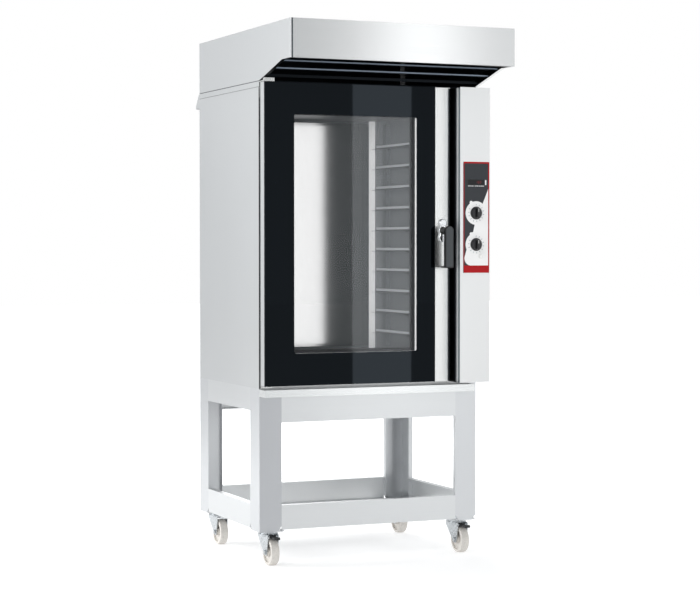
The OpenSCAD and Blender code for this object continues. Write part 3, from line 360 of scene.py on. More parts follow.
def zinc_plate():
    """Bright zinc on pressed steel: cool, slightly cloudy and half shiny."""
    made, tree, shader = new_material("bright_zinc_plate", "#BFC3C6", 0.3, 0.95)
    place = add(tree, "TexCoord").outputs["Object"]
    spangle_mm = 9.0
    clouds = add(tree, "TexNoise", {"Vector": place, "Scale": 1 / (spangle_mm * MM), "Detail": 3.0})
    tone_by(tree, shader, "#BFC3C6", clouds.outputs[0], 0.9, 1.06)
    vary_roughness(tree, shader, clouds.outputs[0], 0.22, 0.36)
    return made


def polished_chrome():
    """Decorative chrome plate: near mirror, with the faintest waviness from the polishing wheel."""
    made, tree, shader = new_material("polished_chrome", "#E6E8EA", 0.14, 1.0)
    place = add(tree, "TexCoord").outputs["Object"]
    wave_mm = 14.0
    waves = add(tree, "TexNoise", {"Vector": place, "Scale": 1 / (wave_mm * MM), "Detail": 0.0})
    vary_roughness(tree, shader, waves.outputs[0], 0.12, 0.18)
    bump_by(tree, shader, waves.outputs[0], 0.05, 0.1)
    return made


def printed_glass():
    """Toughened glass with a black ceramic print round the window, baked into its back.

    The print is opaque. The window inside it has a thin heat-reflecting metal coat and lets the oven be seen.
    """
    print_tone, coat_tone = "#030507", "#5C5E60"
    made, tree, shader = new_material("black_printed_toughened_glass", print_tone, 0.02,
                                      Specular_IOR_Level=0.18, Specular_Tint=colour("#DCEEFF"), IOR=1.5)
    # The print's width on the left and at the foot, then the window's size and corners
    print_left, print_foot = 117 * MM, 119 * MM
    window_w, window_h = 503 * MM, 887 * MM
    corner_r = 8 * MM
    split = add(tree, "SeparateXYZ", {0: add(tree, "TexCoord").outputs["Object"]})
    beyond = []
    sides = (("X", glass_low.x + print_left, window_w), ("Z", glass_low.z + print_foot, window_h))
    for axis, start, span in sides:
        moved = add(tree, "Math", {0: split.outputs[axis], 1: start + span / 2}, operation="SUBTRACT")
        length = add(tree, "Math", {0: moved.outputs[0]}, operation="ABSOLUTE")
        over = add(tree, "Math", {0: length.outputs[0], 1: span / 2 - corner_r}, operation="SUBTRACT")
        beyond.append(add(tree, "Math", {0: over.outputs[0], 1: 0.0}, operation="MAXIMUM").outputs[0])
    corner = add(tree, "CombineXYZ", {"X": beyond[0], "Y": beyond[1]})
    reach = add(tree, "VectorMath", {0: corner.outputs[0]}, operation="LENGTH")
    printed = add(tree, "Math", {0: reach.outputs["Value"], 1: corner_r}, operation="GREATER_THAN")
    tint = 0.15
    alpha = add(tree, "MapRange", {"Value": printed.outputs[0], "To Min": tint, "To Max": 1.0})
    tree.links.new(alpha.outputs[0], shader.inputs["Alpha"])
    tone = add(tree, "Mix", {0: printed.outputs[0], 6: colour(coat_tone), 7: colour(print_tone)},
               data_type="RGBA")
    tree.links.new(tone.outputs[2], shader.inputs["Base Color"])
    coat = add(tree, "Math", {0: 1.0, 1: printed.outputs[0]}, operation="SUBTRACT")
    tree.links.new(coat.outputs[0], shader.inputs["Metallic"])
    return made


def clear_pane(name, code, alpha, roughness=0.02):
    """Plain float glass: little colour, seen mostly by what it reflects."""
    made, tree, shader = new_material(name, code, roughness, Alpha=alpha, IOR=1.5)
    place = add(tree, "TexCoord").outputs["Object"]
    film_mm = 90.0
    film = add(tree, "TexNoise", {"Vector": place, "Scale": 1 / (film_mm * MM), "Detail": 2.0})
    vary_roughness(tree, shader, film.outputs[0], roughness, roughness + 0.03)
    return made


def nylon_wheel():
    """Cast nylon wheel: cream web and hub, greyed by dust on the tread."""
    made, tree, shader = new_material("cast_nylon", "#DAD7D2", 0.5)
    place = add(tree, "TexCoord").outputs["Object"]
    grain_mm = 6.0
    dust = add(tree, "TexNoise", {"Vector": place, "Scale": 1 / (grain_mm * MM), "Detail": 4.0})
    tone_by(tree, shader, "#D6D2CC", dust.outputs[0], 0.86, 1.04)
    vary_roughness(tree, shader, dust.outputs[0], 0.42, 0.6)
    bump_by(tree, shader, dust.outputs[0], 0.1, 0.15)
    return made


def mineral_wool():
    """Mineral wool slab: matt, matted fibres in a dull yellow."""
    made, tree, shader = new_material("mineral_wool", "#C9B979", 0.95)
    place = add(tree, "TexCoord").outputs["Object"]
    fibre_mm = 5.0
    fibres = add(tree, "TexNoise", {"Vector": place, "Scale": 1 / (fibre_mm * MM), "Detail": 8.0,
                                    "Distortion": 1.5})
    tone_by(tree, shader, "#C9B979", fibres.outputs[0], 0.7, 1.15)
    bump_by(tree, shader, fibres.outputs[0], 1.5, 0.8)
    return made


zinc = zinc_plate()
chrome = polished_chrome()
nylon = nylon_wheel()
wool = mineral_wool()
door_glass = printed_glass()
# The inner pane is nearly invisible, the lamp's cover is cloudy from its mould
inner_glass = clear_pane("clear_float_glass", "#C9D2D4", 0.05)
lamp_glass = clear_pane("pressed_lamp_glass", "#E9E4D0", 0.55, 0.12)
# Silicone: matt black with a dry skin
silicone = moulded("black_silicone", "#17181A", 0.62, 2.0)
# Glass-filled nylon of pedals and gland: matt black with a coarse moulded grain
pedal_plastic = moulded("black_glass_filled_nylon", "#1B1C1E", 0.5, 1.5, 0.1)
# Heat-proof phenolic of the knobs: deep black, half matt
knob_plastic = moulded("black_phenolic", "#1E2023", 0.36, 1.2)
# The same, polished by fingers: deeper and shinier
rib_plastic = moulded("black_phenolic_rib", "#0D0E10", 0.3, 1.2)
# Powder-coated zinc casting of the lever
lever_paint = moulded("black_powder_coat", "#121315", 0.36, 0.8, 0.08)
# The lever's flat front is greyer
lever_face_paint = moulded("grey_powder_coat", "#3F4346", 0.36, 0.8, 0.05, Specular_IOR_Level=0.35)
# Screen-printed polycarbonate film of the control plate: even, smooth and half matt
film_grey = moulded("grey_printed_film", "#33363A", 0.34, 3.0, 0.02, 0.005, Specular_IOR_Level=0.25)
film_white = moulded("white_printed_film", "#F4F4F3", 0.34, 3.0, 0.01, 0.005)
film_red = moulded("red_printed_film", "#AC0812", 0.34, 3.0, 0.02, 0.005, Specular_IOR_Level=0.2)
film_mark = moulded("grey_printed_marks", "#8B999F", 0.4, 3.0, 0.02, 0.005)
# Acrylic display window: black and glossy
display_black = moulded("black_acrylic_window", "#090A0C", 0.08, 20.0, 0.02, 0.002)
# Moulded ABS of the push button: clean white with a soft shine
button_white = moulded("white_abs", "#F3F3F1", 0.25, 2.0, 0.01, 0.01)
# Moulded nylon of switches, clips and the display's frame: black and half matt
switch_black = moulded("black_moulded_switch", "#1A1B1D", 0.5, 1.5)
# Nickel alloy tube of the heaters: scaled dull grey by heat
oxide_tube = moulded("oxidised_heater_tube", "#4A4B4C", 0.42, 6.0, 0.15, metallic=0.8)
# Die-cast aluminium of the motors: pale with a fine grain
cast_aluminium = moulded("cast_aluminium_motor", "#A5A8AA", 0.5, 4.0, 0.08, metallic=0.9)
# Turned brass of the water inlet: yellow and shiny
plain_brass = moulded("turned_brass", "#B99B54", 0.28, 5.0, 0.06, metallic=1.0)
# Segments that give off a dim red light behind the display's window
digits_red = new_material("red_lit_segments", "#5E1216", 0.4, Emission_Color=colour("#B51F26"),
                          Emission_Strength=0.3)[0]

FINISH = {
    casing_steel: ["side_panel_left", "side_panel_right", "back_panel", "base_pan", "rear_cowl",
                   "exhaust_collar"],
    door_steel: ["door_frame", "door_back_panel"],
    hood_steel: ["hood_shell", "top_panel"],
    column_steel: ["control_column", "front_frame"],
    edge_steel: ["door_edge_profile", "door_hinges", "latch_keeper"],
    leg_steel: ["stand_leg_front_left", "stand_leg_front_right", "stand_leg_rear_left",
                "stand_leg_rear_right", "castor_gussets"],
    rail_steel: ["stand_top_rails", "stand_low_rails"],
    gutter_steel: ["drip_gutter"],
    slat_steel: ["hood_slats"],
    cavity_steel: ["cavity_liner", "upper_fan", "lower_fan"],
    baffle_steel: ["fan_baffle"],
    rack_steel: ["rack_left", "rack_right"],
    turner_steel: ["air_strips"],
    zinc: ["castor_tops", "castor_fork_fl", "castor_fork_fr", "castor_fork_rl", "castor_fork_rr",
           "latch_cam"],
    nylon: ["castor_wheel_fl", "castor_wheel_fr", "castor_wheel_rl", "castor_wheel_rr"],
    wool: ["insulation"],
    door_glass: ["door_outer_glass"],
    inner_glass: ["door_inner_glass"],
    lamp_glass: ["cavity_lamp"],
    silicone: ["door_seal"],
    pedal_plastic: ["castor_brake_fl", "castor_brake_fr", "cable_gland"],
    knob_plastic: ["temperature_knob", "timer_knob"],
    lever_paint: ["door_handle"],
    chrome: ["handle_rosette"],
    film_grey: ["control_plate"],
    display_black: ["display"],
    button_white: ["steam_button"],
    switch_black: ["control_switches"],
    oxide_tube: ["heating_elements"],
    cast_aluminium: ["fan_motors"],
    plain_brass: ["water_inlet"],
}
for finish, names in FINISH.items():
    for name in names:
        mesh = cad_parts[name].data
        mesh.materials.clear()
        mesh.materials.append(finish)


# Making pieces

def to_piece(name, mesh, material, body, replaced=()):
    """Puts a mesh that is already in the row frame into the scene, on a body."""
    piece = bpy.data.objects.new(name, mesh)
    bpy.context.scene.collection.objects.link(piece)
    mesh.materials.clear()
    mesh.materials.append(material)
    if replaced:
        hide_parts(*replaced)
    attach(piece, body)


def mesh_of(obj):
    """The final mesh of a helper curve, in the row frame. The helper is removed."""
    bpy.context.scene.collection.objects.link(obj)
    bpy.context.view_layer.update()
    seen = obj.evaluated_get(bpy.context.evaluated_depsgraph_get())
    mesh = bpy.data.meshes.new_from_object(seen)
    mesh.transform(obj.matrix_world)
    bpy.data.objects.remove(obj)
    return mesh


def join(meshes):
    """One mesh from several."""
    made = bmesh.new()
    for mesh in meshes:
        made.from_mesh(mesh)
    whole = bpy.data.meshes.new("joined")
    made.to_mesh(whole)
    made.free()
    return whole


def smooth(mesh, angle=35):
    """Shades a mesh smooth but keeps its edges above an angle sharp."""
    mesh.polygons.foreach_set("use_smooth", [True] * len(mesh.polygons))
    mesh.set_sharp_from_angle(angle=math.radians(angle))
    return mesh


# Turns a shape drawn in X and Z, with its thickness towards the front, into the row frame
FRONT = Matrix(((1, 0, 0, 0), (0, 0, -1, 0), (0, 1, 0, 0), (0, 0, 0, 1)))


def facing(loops, back_y, thickness, bevel=0.0, rounds=3):
    """Plate seen from the front: outlines in X and Z, then its back's Y and its thickness."""
    curve = bpy.data.curves.new("outline", "CURVE")
    curve.dimensions = "2D"
    curve.fill_mode = "BOTH"
    curve.extrude = thickness / 2 - bevel
    curve.bevel_depth = bevel
    curve.bevel_resolution = rounds
    curve.offset = -bevel
    for loop in loops:
        line = curve.splines.new("POLY")
        line.points.add(len(loop) - 1)
        for point, (x, z) in zip(line.points, loop):
            point.co = (x, z, 0, 1)
        line.use_cyclic_u = True
    obj = bpy.data.objects.new("outline", curve)
    obj.matrix_world = Matrix.Translation((0, back_y - thickness / 2, 0)) @ FRONT
    return smooth(mesh_of(obj))


def arc(x, z, r, start, end, steps=24):
    """Points on a circle, from one angle to another, in degrees from +X towards +Z."""
    turn = [math.radians(start + (end - start) * i / steps) for i in range(steps + 1)]
    return [(x + r * math.cos(a), z + r * math.sin(a)) for a in turn]


def box_loop(x0, x1, z0, z1, r=0.0):
    """Rectangle, with rounded corners where r is given."""
    if r <= 0:
        return [(x0, z0), (x1, z0), (x1, z1), (x0, z1)]
    corners = ((x1 - r, z0 + r, -90), (x1 - r, z1 - r, 0), (x0 + r, z1 - r, 90), (x0 + r, z0 + r, 180))
    return [point for x, z, a in corners for point in arc(x, z, r, a, a + 90, 8)]


# Turns a shape that stands on +Z to point along an axis
AXES = {"y": Matrix.Rotation(math.radians(-90), 4, "X"), "-y": Matrix.Rotation(math.radians(90), 4, "X"),
        "z": Matrix.Identity(4)}


def turned(profile, at, axis="-y", steps=64, waist=None):
    """Turned shape: radius and height pairs, from the axis outwards and back, round an axis at a point.

    waist gives a factor on the radius for an angle, for grips and flats.
    """
    made = bmesh.new()
    rings = []
    for r, h in profile:
        if r < 1e-7:
            rings.append([made.verts.new((0, 0, h))])
            continue
        ring = []
        for i in range(steps):
            a = 2 * math.pi * i / steps
            k = waist(a, h) if waist else 1.0
            ring.append(made.verts.new((r * k * math.cos(a), r * k * math.sin(a), h)))
        rings.append(ring)
    for low, high in zip(rings, rings[1:]):
        for i in range(steps):
            corners = [low[i % len(low)], low[(i + 1) % len(low)],
                       high[(i + 1) % len(high)], high[i % len(high)]]
            corners = list(dict.fromkeys(corners))
            if len(corners) > 2:
                made.faces.new(corners)
    if len(rings[0]) > 1 and profile[0] != profile[-1]:
        made.faces.new(rings[0])
        made.faces.new(rings[-1])
    bmesh.ops.remove_doubles(made, verts=made.verts, dist=1e-7)
    bmesh.ops.recalc_face_normals(made, faces=made.faces)
    mesh = bpy.data.meshes.new("turned")
    made.to_mesh(mesh)
    made.free()
    mesh.transform(Matrix.Translation(Vector(at)) @ AXES[axis])
    return smooth(mesh)


def ring_bar(points, radius):
    """Round bar along a closed run of points."""
    curve = bpy.data.curves.new("run", "CURVE")
    curve.dimensions = "3D"
    curve.bevel_depth = radius
    curve.bevel_resolution = 5
    line = curve.splines.new("POLY")
    line.points.add(len(points) - 1)
    for point, place in zip(line.points, points):
        point.co = (*place, 1)
    line.use_cyclic_u = True
    return smooth(mesh_of(bpy.data.objects.new("run", curve)))


def rounded_block(low, high, bevel, segments=3):
    """Block with rounded edges between two corners."""
    made = bmesh.new()
    bmesh.ops.create_cube(made, size=1.0)
    low, high = Vector(low), Vector(high)
    for vert in made.verts:
        vert.co = Vector([low[i] + (vert.co[i] + 0.5) * (high[i] - low[i]) for i in range(3)])
    bmesh.ops.bevel(made, geom=list(made.edges), offset=bevel, segments=segments, profile=0.5, affect="EDGES")
    mesh = bpy.data.meshes.new("block")
    made.to_mesh(mesh)
    made.free()
    return smooth(mesh)


def screw_heads(places, axis, r, height=None):
    """Pan-head screws with a recess, each on the face at its place."""
    height = height or 0.55 * r
    profile = [(0, 0), (r, 0), (r, 0.25 * height), (0.85 * r, 0.75 * height), (0.5 * r, height),
               (0.36 * r, height), (0.3 * r, 0.45 * height), (0, 0.45 * height)]
    return join([turned(profile, place, axis, 20) for place in places])


# Lever and rosette

def lever():
    """Cast lever: round top, straight sides, a foot bent towards the door, and a neck into the rosette."""
    x = (lever_low.x + lever_high.x) / 2
    r = (lever_high.x - lever_low.x) / 2
    top = lever_high.z
    bottom = lever_low.z
    thick = 16 * MM
    back = lever_low.y + thick
    foot = 24 * MM
    proud = 0.6 * MM
    corner = 3 * MM

    def outline(inset, foot_z):
        half = r - inset
        return arc(x, top - r, half, 0, 180, 28) + [(x - half, foot_z + corner), (x - half + corner, foot_z),
                                                    (x + half - corner, foot_z), (x + half, foot_z + corner)]

    blade = facing([outline(0, bottom)], back, thick - proud, 3 * MM, 5)
    neck_r = 11 * MM
    neck_end = rosette_low.y + 6 * MM
    neck_at = (x, neck_end, top - r)
    neck_l = neck_end - back + 2 * MM
    collar = 2.5 * MM
    neck = turned([(0, 0), (neck_r, 0), (neck_r, neck_l - 3 * collar), (neck_r + collar, neck_l - collar),
                   (neck_r + collar, neck_l), (0, neck_l)], neck_at)
    lip = rounded_block((x - r, back - 3 * MM, bottom), (x + r, back + foot, bottom + 7 * MM), 2 * MM)
    to_piece("lever_casting", join([blade, neck, lip]), lever_paint, "handle",
             ("door_handle",))
    face = facing([outline(3.2 * MM, bottom + 5 * MM)], lever_low.y + proud, proud, 0.25 * MM)
    to_piece("lever_face", face, lever_face_paint, "handle")


def rosette():
    """Chromed plate with two round lobes, a round seat for the neck and a keyhole under it."""
    x = (rosette_low.x + rosette_high.x) / 2
    r = 0.84 * (rosette_high.x - rosette_low.x) / 2
    z = (rosette_low.z + rosette_high.z) / 2
    mid = (rosette_high.z - rosette_low.z) / 2 - r
    thick = rosette_high.y - rosette_low.y
    waist_at = 38
    outline = arc(x, z + mid, r, -waist_at, 180 + waist_at, 32)
    outline += arc(x, z - mid, r, 180 - waist_at, 360 + waist_at, 32)
    hole = list(reversed(arc(x, z, 11.5 * MM, 0, 354, 40)))
    plate = facing([outline, hole], rosette_high.y, thick, 4 * MM, 6)
    to_piece("rosette_shell", plate, chrome, "door", ("handle_rosette",))
    seat = turned([(6.2 * MM, 0), (11.6 * MM, 0), (11.6 * MM, 2 * MM), (6.2 * MM, 2 * MM)],
                  (x, rosette_high.y - 1 * MM, z), steps=40)
    to_piece("rosette_seat", seat, rib_plastic, "door")
    lock_below = 29 * MM
    keyhole = turned([(0, 0), (7 * MM, 0), (7 * MM, 0.4 * MM), (5.6 * MM, 0.9 * MM), (5 * MM, 0.3 * MM),
                      (0, 0.3 * MM)], (x, rosette_low.y + 0.6 * MM, z - lock_below), steps=40)
    to_piece("rosette_lock", keyhole, rib_plastic, "door")


lever()
rosette()


# Controls

knob_x = (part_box("temperature_knob")[0].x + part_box("temperature_knob")[1].x) / 2


def knob(name, body):
    """Moulded knob: skirt with a chamfer, fluted grip, a tall rib across it and a white pointer line."""
    low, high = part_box(name)
    z = (low.z + high.z) / 2
    r = (high.x - low.x) / 2
    back = plate_low.y - 0.5 * MM
    height = back - low.y
    flutes = 24

    def fluted(angle, h):
        return 1 - 0.022 * (0.5 + 0.5 * math.cos(flutes * angle)) if 3.2 * MM < h < height else 1.0

    shell = turned([(0, 0), (r, 0), (r, 2 * MM), (r - 1.5 * MM, 3 * MM), (r - 3.5 * MM, 3.4 * MM),
                    (r - 4.5 * MM, 9 * MM), (r - 6 * MM, 10.6 * MM), (0, 10.6 * MM)],
                   (knob_x, back, z), steps=96, waist=fluted)
    stem_r = 4 * MM
    stem = turned([(0, -22 * MM), (stem_r, -22 * MM), (stem_r, 1 * MM), (0, 1 * MM)],
                  (knob_x, back, z), steps=32)
    to_piece(name + "_shell", join([shell, stem]), knob_plastic, body, (name,))
    half = 5.5 * MM
    span = r - 4.5 * MM
    rib_loop = arc(knob_x, z + span - half, half, 0, 180, 12)
    rib_loop += arc(knob_x, z - span + half, half, 180, 360, 12)
    rib = facing([rib_loop], back - 9 * MM, height - 9 * MM, 2 * MM, 4)
    to_piece(name + "_rib", rib, rib_plastic, body)
    line = rounded_block((knob_x - 0.8 * MM, back - height - 0.12 * MM, z + 4 * MM),
                         (knob_x + 0.8 * MM, back - height + 0.3 * MM, z + span - 3 * MM), 0.1 * MM, 1)
    to_piece(name + "_pointer", line, film_white, body)


knob("temperature_knob", "knob_temperature")
knob("timer_knob", "knob_timer")


def push_button():
    """White push button with a soft edge, in a white ring that stays on the plate."""
    low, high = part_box("steam_button")
    x, z = (low.x + high.x) / 2, (low.z + high.z) / 2
    r = (high.x - low.x) / 2
    front = low.y
    cap_l = 5 * MM
    plunger_r = 4.5 * MM
    tail = high.y - front
    cap = turned([(0, 0), (r - 3 * MM, -0.1 * MM), (r - 1 * MM, -0.6 * MM), (r, -1.8 * MM), (r, -cap_l),
                  (plunger_r, -cap_l), (plunger_r, -tail), (0, -tail)], (x, front, z), "-y", 48)
    to_piece("button_cap", cap, button_white, "button", ("steam_button",))
    lip = 1.2 * MM
    ring = turned([(r + 0.4 * MM, 0), (r + 0.4 * MM, lip), (r + 1.0 * MM, 1.6 * lip),
                   (r + 2.0 * MM, 1.2 * lip), (r + 2.4 * MM, 0), (r + 0.4 * MM, 0)],
                  (x, plate_low.y, z), "-y", 48)
    to_piece("button_ring", ring, button_white, OVEN)


push_button()


# Prints on the control plate. Each is a thin film on the plate's front face.
FILM = 0.12 * MM
knob_z = [sum(corner.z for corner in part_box(name)) / 2 for name in ("temperature_knob", "timer_knob")]


def from_plate(x_mm, down_mm):
    """A place on the plate, in millimetres from its upper left corner."""
    return plate_low.x + x_mm * MM, plate_high.z - down_mm * MM


def film(loops, layer=1):
    """Thin print on the plate. A higher layer lies over a lower one."""
    return facing(loops, plate_low.y - (layer - 1) * FILM, FILM)


def print_border():
    """Red border: thin on the left, wider at the top and right, with a broad band at the foot."""
    x0, x1 = plate_low.x, plate_high.x
    z0, z1 = plate_low.z, plate_high.z
    outer = box_loop(x0, x1, z0, z1, 3 * MM)
    inner = list(reversed(box_loop(x0 + 3 * MM, x1 - 5 * MM, z0 + 28 * MM, z1 - 6 * MM, 1.5 * MM)))
    to_piece("plate_red_border", film([outer, inner]), film_red, OVEN)


def print_white_field():
    """White field: a round area behind each knob with a small tab, and a wedge that rises to the right."""
    r = 45 * MM
    x_right = plate_high.x - 5 * MM
    z_foot = plate_low.z + 28 * MM
    z_up, z_low = knob_z
    left_foot = plate_low.x + 4 * MM
    big_r = 27 * MM
    wedge_top = (x_right, plate_high.z - 103 * MM)
    tab_r = 6 * MM
    tab_at = 118
    tab_half = 9
    tab_reach = r + 1 * MM

    def tab(z):
        turn = math.radians(tab_at)
        return arc(knob_x + tab_reach * math.cos(turn), z + tab_reach * math.sin(turn), tab_r, 70, 190, 10)

    points = [(x_right, z_foot), wedge_top]
    points += arc(knob_x, z_up, r, 52, tab_at - tab_half, 12)
    points += tab(z_up)
    points += arc(knob_x, z_up, r, tab_at + tab_half, 262, 36)
    points += [(knob_x - 13 * MM, z_low + 47 * MM)]
    points += tab(z_low)
    points += arc(knob_x, z_low, r, tab_at + tab_half, 205, 20)
    points += arc(left_foot + big_r, z_foot + big_r, big_r, 168, 270, 20)
    to_piece("plate_white_field", film([points], 2), film_white, OVEN)


def print_scale(name, z):
    """Ring of plain ticks round a knob, with a gap at the lower right."""
    meshes = []
    r0, r1 = 28.5 * MM, 34.5 * MM
    half = 0.9 * MM
    count, step = 13, -25
    middle = Vector((knob_x, z))
    for i in range(count):
        a = math.radians(90 + step * i)
        out = Vector((math.cos(a), math.sin(a)))
        side = Vector((-out.y, out.x)) * half
        near, far = middle + out * r0, middle + out * r1
        corners = [near - side, far - side, far + side, near + side]
        meshes.append(film([[tuple(c) for c in corners]], 3))
    to_piece(name, join(meshes), film_mark, OVEN)


print_border()
print_white_field()
print_scale("temperature_scale", knob_z[0])
print_scale("timer_scale", knob_z[1])


def print_small_marks():
    """Row of short marks under the display and an upright bar beside it."""
    meshes = []
    row_top, row_foot = 90.8, 93.2
    for start, end in ((19, 26), (28, 33), (35, 42), (47, 52), (54, 63), (65, 70), (72, 81), (83, 87)):
        x0, z0 = from_plate(start, row_foot)
        x1, z1 = from_plate(end, row_top)
        meshes.append(film([box_loop(x0, x1, z0, z1)]))
    x0, z0 = from_plate(91.5, 88)
    x1, z1 = from_plate(97, 69)
    meshes.append(film([box_loop(x0, x1, z0, z1, 1.5 * MM)]))
    to_piece("plate_white_marks", join(meshes), film_white, OVEN)


print_small_marks()

# The bars of each figure that the display shows
SEGMENTS = {"0": "abcdef", "1": "bc", "8": "abcdefg"}


def digit_segments(digit, x, z, h):
    """Loops of a seven-segment digit with its lower left corner at x, z."""
    w, t = 0.52 * h, 0.11 * h
    bars = {"a": (0, w, h - t, h), "g": (0, w, h / 2 - t / 2, h / 2 + t / 2), "d": (0, w, 0, t),
            "f": (0, t, h / 2, h), "b": (w - t, w, h / 2, h),
            "e": (0, t, 0, h / 2), "c": (w - t, w, 0, h / 2)}
    gap = 0.02 * h
    loops = []
    for key in SEGMENTS[digit]:
        x0, x1, z0, z1 = bars[key]
        loops.append(box_loop(x + x0 + gap, x + x1 - gap, z + z0 + gap, z + z1 - gap))
    return loops


def display_face():
    """Frame of the display window, its clear part and the lit figures."""
    glass_y = plate_low.y + 0.6 * MM
    x0, z0 = from_plate(12.5, 88.5)
    x1, z1 = from_plate(87.5, 66.5)
    left, right, rim = 7 * MM, 2 * MM, 2.5 * MM
    outer = box_loop(x0, x1, z0, z1, 1 * MM)
    clear = box_loop(x0 + left, x1 - right, z0 + rim, z1 - rim, 0.8 * MM)
    bezel = facing([outer, list(reversed(clear))], glass_y, 0.5 * MM, 0.15 * MM)
    to_piece("display_bezel", bezel, switch_black, OVEN)
    first, pitch, foot, h = 40 * MM, 8.5 * MM, 6 * MM, 10 * MM
    meshes = []
    for i, digit in enumerate("180"):
        for loop in digit_segments(digit, x0 + first + i * pitch, z0 + foot, h):
            meshes.append(facing([loop], glass_y, 0.1 * MM))
    to_piece("display_figures", join(meshes), digits_red, OVEN)


display_face()


# Door seal and gasket

def bulb_seal():
    """Silicone bulb on a flat foot, run round the cavity mouth with rounded corners."""
    low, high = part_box("door_seal")
    foot = 10 * MM
    r = (high.y - low.y) / 2
    inset = foot / 2
    x0, x1, z0, z1 = low.x + inset, high.x - inset, low.z + inset, high.z - inset
    y = low.y + r
    loop = box_loop(x0, x1, z0, z1, 14 * MM)
    bulb = ring_bar([(x, y, z) for x, z in loop], r)
    outer = box_loop(low.x, high.x, low.z, high.z, 18 * MM)
    inner = box_loop(low.x + foot, high.x - foot, low.z + foot, high.z - foot, 9 * MM)
    strip = facing([outer, list(reversed(inner))], high.y, 1.8 * MM, 0.5 * MM)
    to_piece("seal_bulb", join([bulb, strip]), silicone, OVEN, ("door_seal",))


bulb_seal()


def pane_gasket():
    """Flat black silicone gasket on the front of the inner pane, which hides its lap on the back ring."""
    lap = 12 * MM
    outer = box_loop(pane_low.x, pane_high.x, pane_low.z, pane_high.z, 5 * MM)
    inner = box_loop(pane_low.x + lap, pane_high.x - lap, pane_low.z + lap, pane_high.z - lap, 8 * MM)
    ring = facing([outer, list(reversed(inner))], pane_low.y, 1.5 * MM, 0.3 * MM)
    to_piece("inner_pane_gasket", ring, silicone, "door")


pane_gasket()


# Rail clips and screws

def rack_clips():
    """Black clips on the rails, a little behind their front ends."""
    levels = 10
    behind, length, width = 52 * MM, 32 * MM, 6 * MM
    under, over = 5 * MM, 4 * MM
    for name in ("rack_left", "rack_right"):
        low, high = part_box(name)
        x = low.x if name == "rack_right" else high.x - width
        y = low.y + behind
        meshes = []
        for level in range(levels):
            z = liner_low.z + WALL + RACK_FIRST + level * RACK_PITCH
            meshes.append(rounded_block((x, y, z - under), (x + width, y + length, z + over), 1.2 * MM, 2))
        to_piece(name + "_clips", join(meshes), switch_black, OVEN)


rack_clips()


def casing_screws():
    """Pan-head screws of the back panel, the hood's roof and the lower hinge bracket."""
    head_r = 4.5 * MM
    side_in, foot_in, top_in, off_middle = 12 * MM, 25 * MM, 75 * MM, 220 * MM
    rows = [back_low.z + foot_in, (back_low.z + back_high.z) / 2, back_high.z - top_in]
    columns = [back_low.x + side_in, 0.0, back_high.x - side_in]
    back = [(x, back_high.y, z) for z in rows for x in columns]
    back += [(x, back_high.y, rows[0]) for x in (-off_middle, off_middle)]
    to_piece("back_panel_screws", screw_heads(back, "y", head_r), zinc, OVEN)
    side_in, end_in = 16 * MM, 40 * MM
    roof = [(x, y, hood_high.z) for x in (hood_low.x + side_in, hood_high.x - side_in)
            for y in (hood_low.y + end_in, 0.0, hood_high.y - end_in)]
    to_piece("hood_roof_screws", screw_heads(roof, "z", head_r), zinc, OVEN)
    hinge_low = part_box("door_hinges")[0]
    bracket_sheet = 3 * MM
    front = frame_low.y - bracket_sheet
    bracket = [(hinge_low.x + dx * MM, front, hinge_low.z + dz * MM) for dx in (9, 23) for dz in (34, 52)]
    to_piece("hinge_screws", screw_heads(bracket, "-y", 3.2 * MM, 1.4 * MM), zinc, OVEN)


casing_screws()


# Studio

def area_light(name, at, aim, size, power, only=()):
    """Rectangular soft light that looks at a point and doesn't show itself.

    With only, it lights just those nodes, as a masked lamp would.
    """
    lamp = bpy.data.lights.new(name, "AREA")
    lamp.shape = "RECTANGLE"
    lamp.size, lamp.size_y = size
    lamp.energy = power
    obj = bpy.data.objects.new(name, lamp)
    obj.location = at
    obj.rotation_euler = (Vector(aim) - Vector(at)).to_track_quat("-Z", "Y").to_euler()
    obj.visible_camera = False
    bpy.context.scene.collection.objects.link(obj)
    if only:
        lit = bpy.data.collections.new(name + "_lit")
        for node in only:
            lit.objects.link(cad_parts[node])
        obj.light_linking.receiver_collection = lit


def studio_world(low, high):
    """White to the eye behind the object. As light it is softer.

    low and high are the strength of its lower and upper part as light.
    """
    world = bpy.data.worlds.new("studio")
    bpy.context.scene.world = world
    world.use_nodes = True
    tree = world.node_tree
    tree.nodes.clear()
    seen = add(tree, "LightPath")
    white = add(tree, "Background", {"Color": colour("#FFFFFF"), "Strength": 1.0})
    direction = add(tree, "TexCoord").outputs["Generated"]
    split = add(tree, "SeparateXYZ", {0: direction})
    height = add(tree, "MapRange", {"Value": split.outputs["Z"], "From Min": -0.2, "From Max": 0.9,
                                    "To Min": low, "To Max": high})
    soft = add(tree, "Background", {"Color": colour("#F4F6F8"), "Strength": height.outputs[0]})
    mix = add(tree, "MixShader", {0: seen.outputs["Is Camera Ray"], 1: soft.outputs[0],
                                  2: white.outputs[0]})
    add(tree, "OutputWorld", {"Surface": mix.outputs[0]})


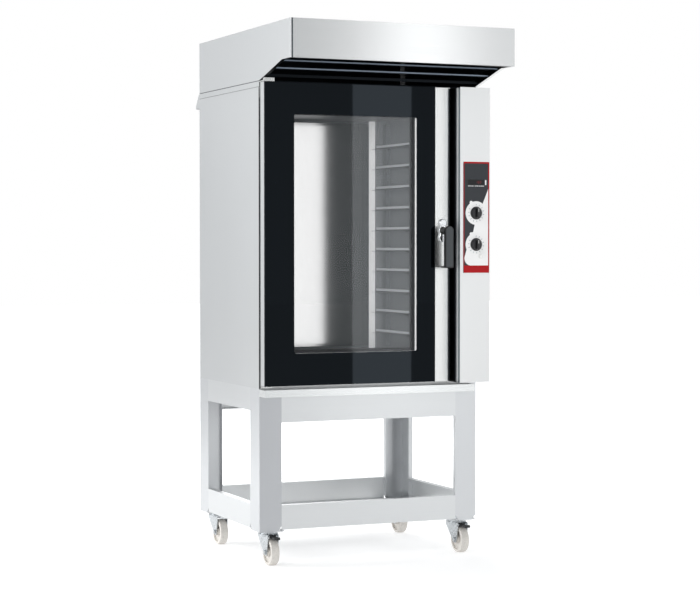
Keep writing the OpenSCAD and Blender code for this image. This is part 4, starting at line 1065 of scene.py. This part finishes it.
def floor(mirrored):
    """Plain pale floor. mirrored is its own glow in the object's reflections, softer than the eye sees."""
    made = bmesh.new()
    reach = 30.0
    corners = ((-reach, -reach, 0), (reach, -reach, 0), (reach, reach, 0), (-reach, reach, 0))
    made.faces.new([made.verts.new(corner) for corner in corners])
    mesh = bpy.data.meshes.new("studio_floor")
    made.to_mesh(mesh)
    made.free()
    obj = bpy.data.objects.new("studio_floor", mesh)
    bpy.context.scene.collection.objects.link(obj)
    material, tree, shader = new_material("pale_studio_floor", "#E6E6E6", 0.9, Specular_IOR_Level=0.0)
    place = add(tree, "TexCoord").outputs["Object"]
    away = add(tree, "VectorMath", {0: place}, operation="LENGTH")
    near, far = 1.2, 4.5
    glow = add(tree, "MapRange", {"Value": away.outputs["Value"], "From Min": near, "From Max": far,
                                  "To Min": 0.35, "To Max": 1.0}, interpolation_type="SMOOTHSTEP")
    seen = add(tree, "LightPath")
    strength = add(tree, "MapRange", {"Value": seen.outputs["Is Camera Ray"], "To Min": mirrored,
                                      "To Max": glow.outputs[0]})
    shader.inputs["Emission Color"].default_value = colour("#FFFFFF")
    tree.links.new(strength.outputs[0], shader.inputs["Emission Strength"])
    mesh.materials.append(material)


studio_world(0.93, 0.4)
floor(0.33)
AIM = (0.0, 0.1, 1.1)
# A tall strip in front on the right. The door glass and the polished baffle mirror it as upright bands.
area_light("tall_strip", (1.73, -4.0, 1.3), (1.73, 0.0, 1.3), (0.38, 3.4), 8.6)
area_light("key_left", (-3.6, -3.2, 3.4), AIM, (2.6, 2.6), 75)
area_light("side_left", (-4.2, 1.6, 1.8), AIM, (2.4, 2.8), 140)
area_light("right_fill", (4.2, 0.6, 2.2), AIM, (2.4, 2.4), 62)
area_light("near_right", (2.5, -3.0, 1.5), (0.3, -0.3, 1.2), (0.8, 2.4), 5)
area_light("rear_fill", (0.6, 4.6, 3.0), AIM, (3.0, 2.4), 120)
# Masked lamps: one in front of the baffle for it alone, one outside for what else shows in the window
baffle_x, baffle_z = -0.043, 1.238
area_light("by_the_baffle", (baffle_x, 0.13, baffle_z), (baffle_x, 0.28, baffle_z), (0.229, 1.13), 62,
           ("fan_baffle",))
area_light("window_left", (-2.2, -4.2, 1.3), (0.2, 0.0, 1.25), (0.8, 2.0), 460,
           ("air_strips", "door_frame", "cavity_liner", "rack_right"))


def camera():
    """The photograph's view: from the left, at the height of the door's middle."""
    data = bpy.data.cameras.new("photo_view")
    data.sensor_width = 36
    data.lens = 99.01
    obj = bpy.data.objects.new("photo_view", data)
    obj.location = (-2.9870, -6.8687, 1.1962)
    down, left_of_front = 1.63, 23.53
    obj.rotation_euler = (math.radians(90 - down), 0, math.radians(-left_of_front))
    bpy.context.scene.collection.objects.link(obj)
    bpy.context.scene.camera = obj


camera()
bpy.context.scene.view_settings.view_transform = "Standard"
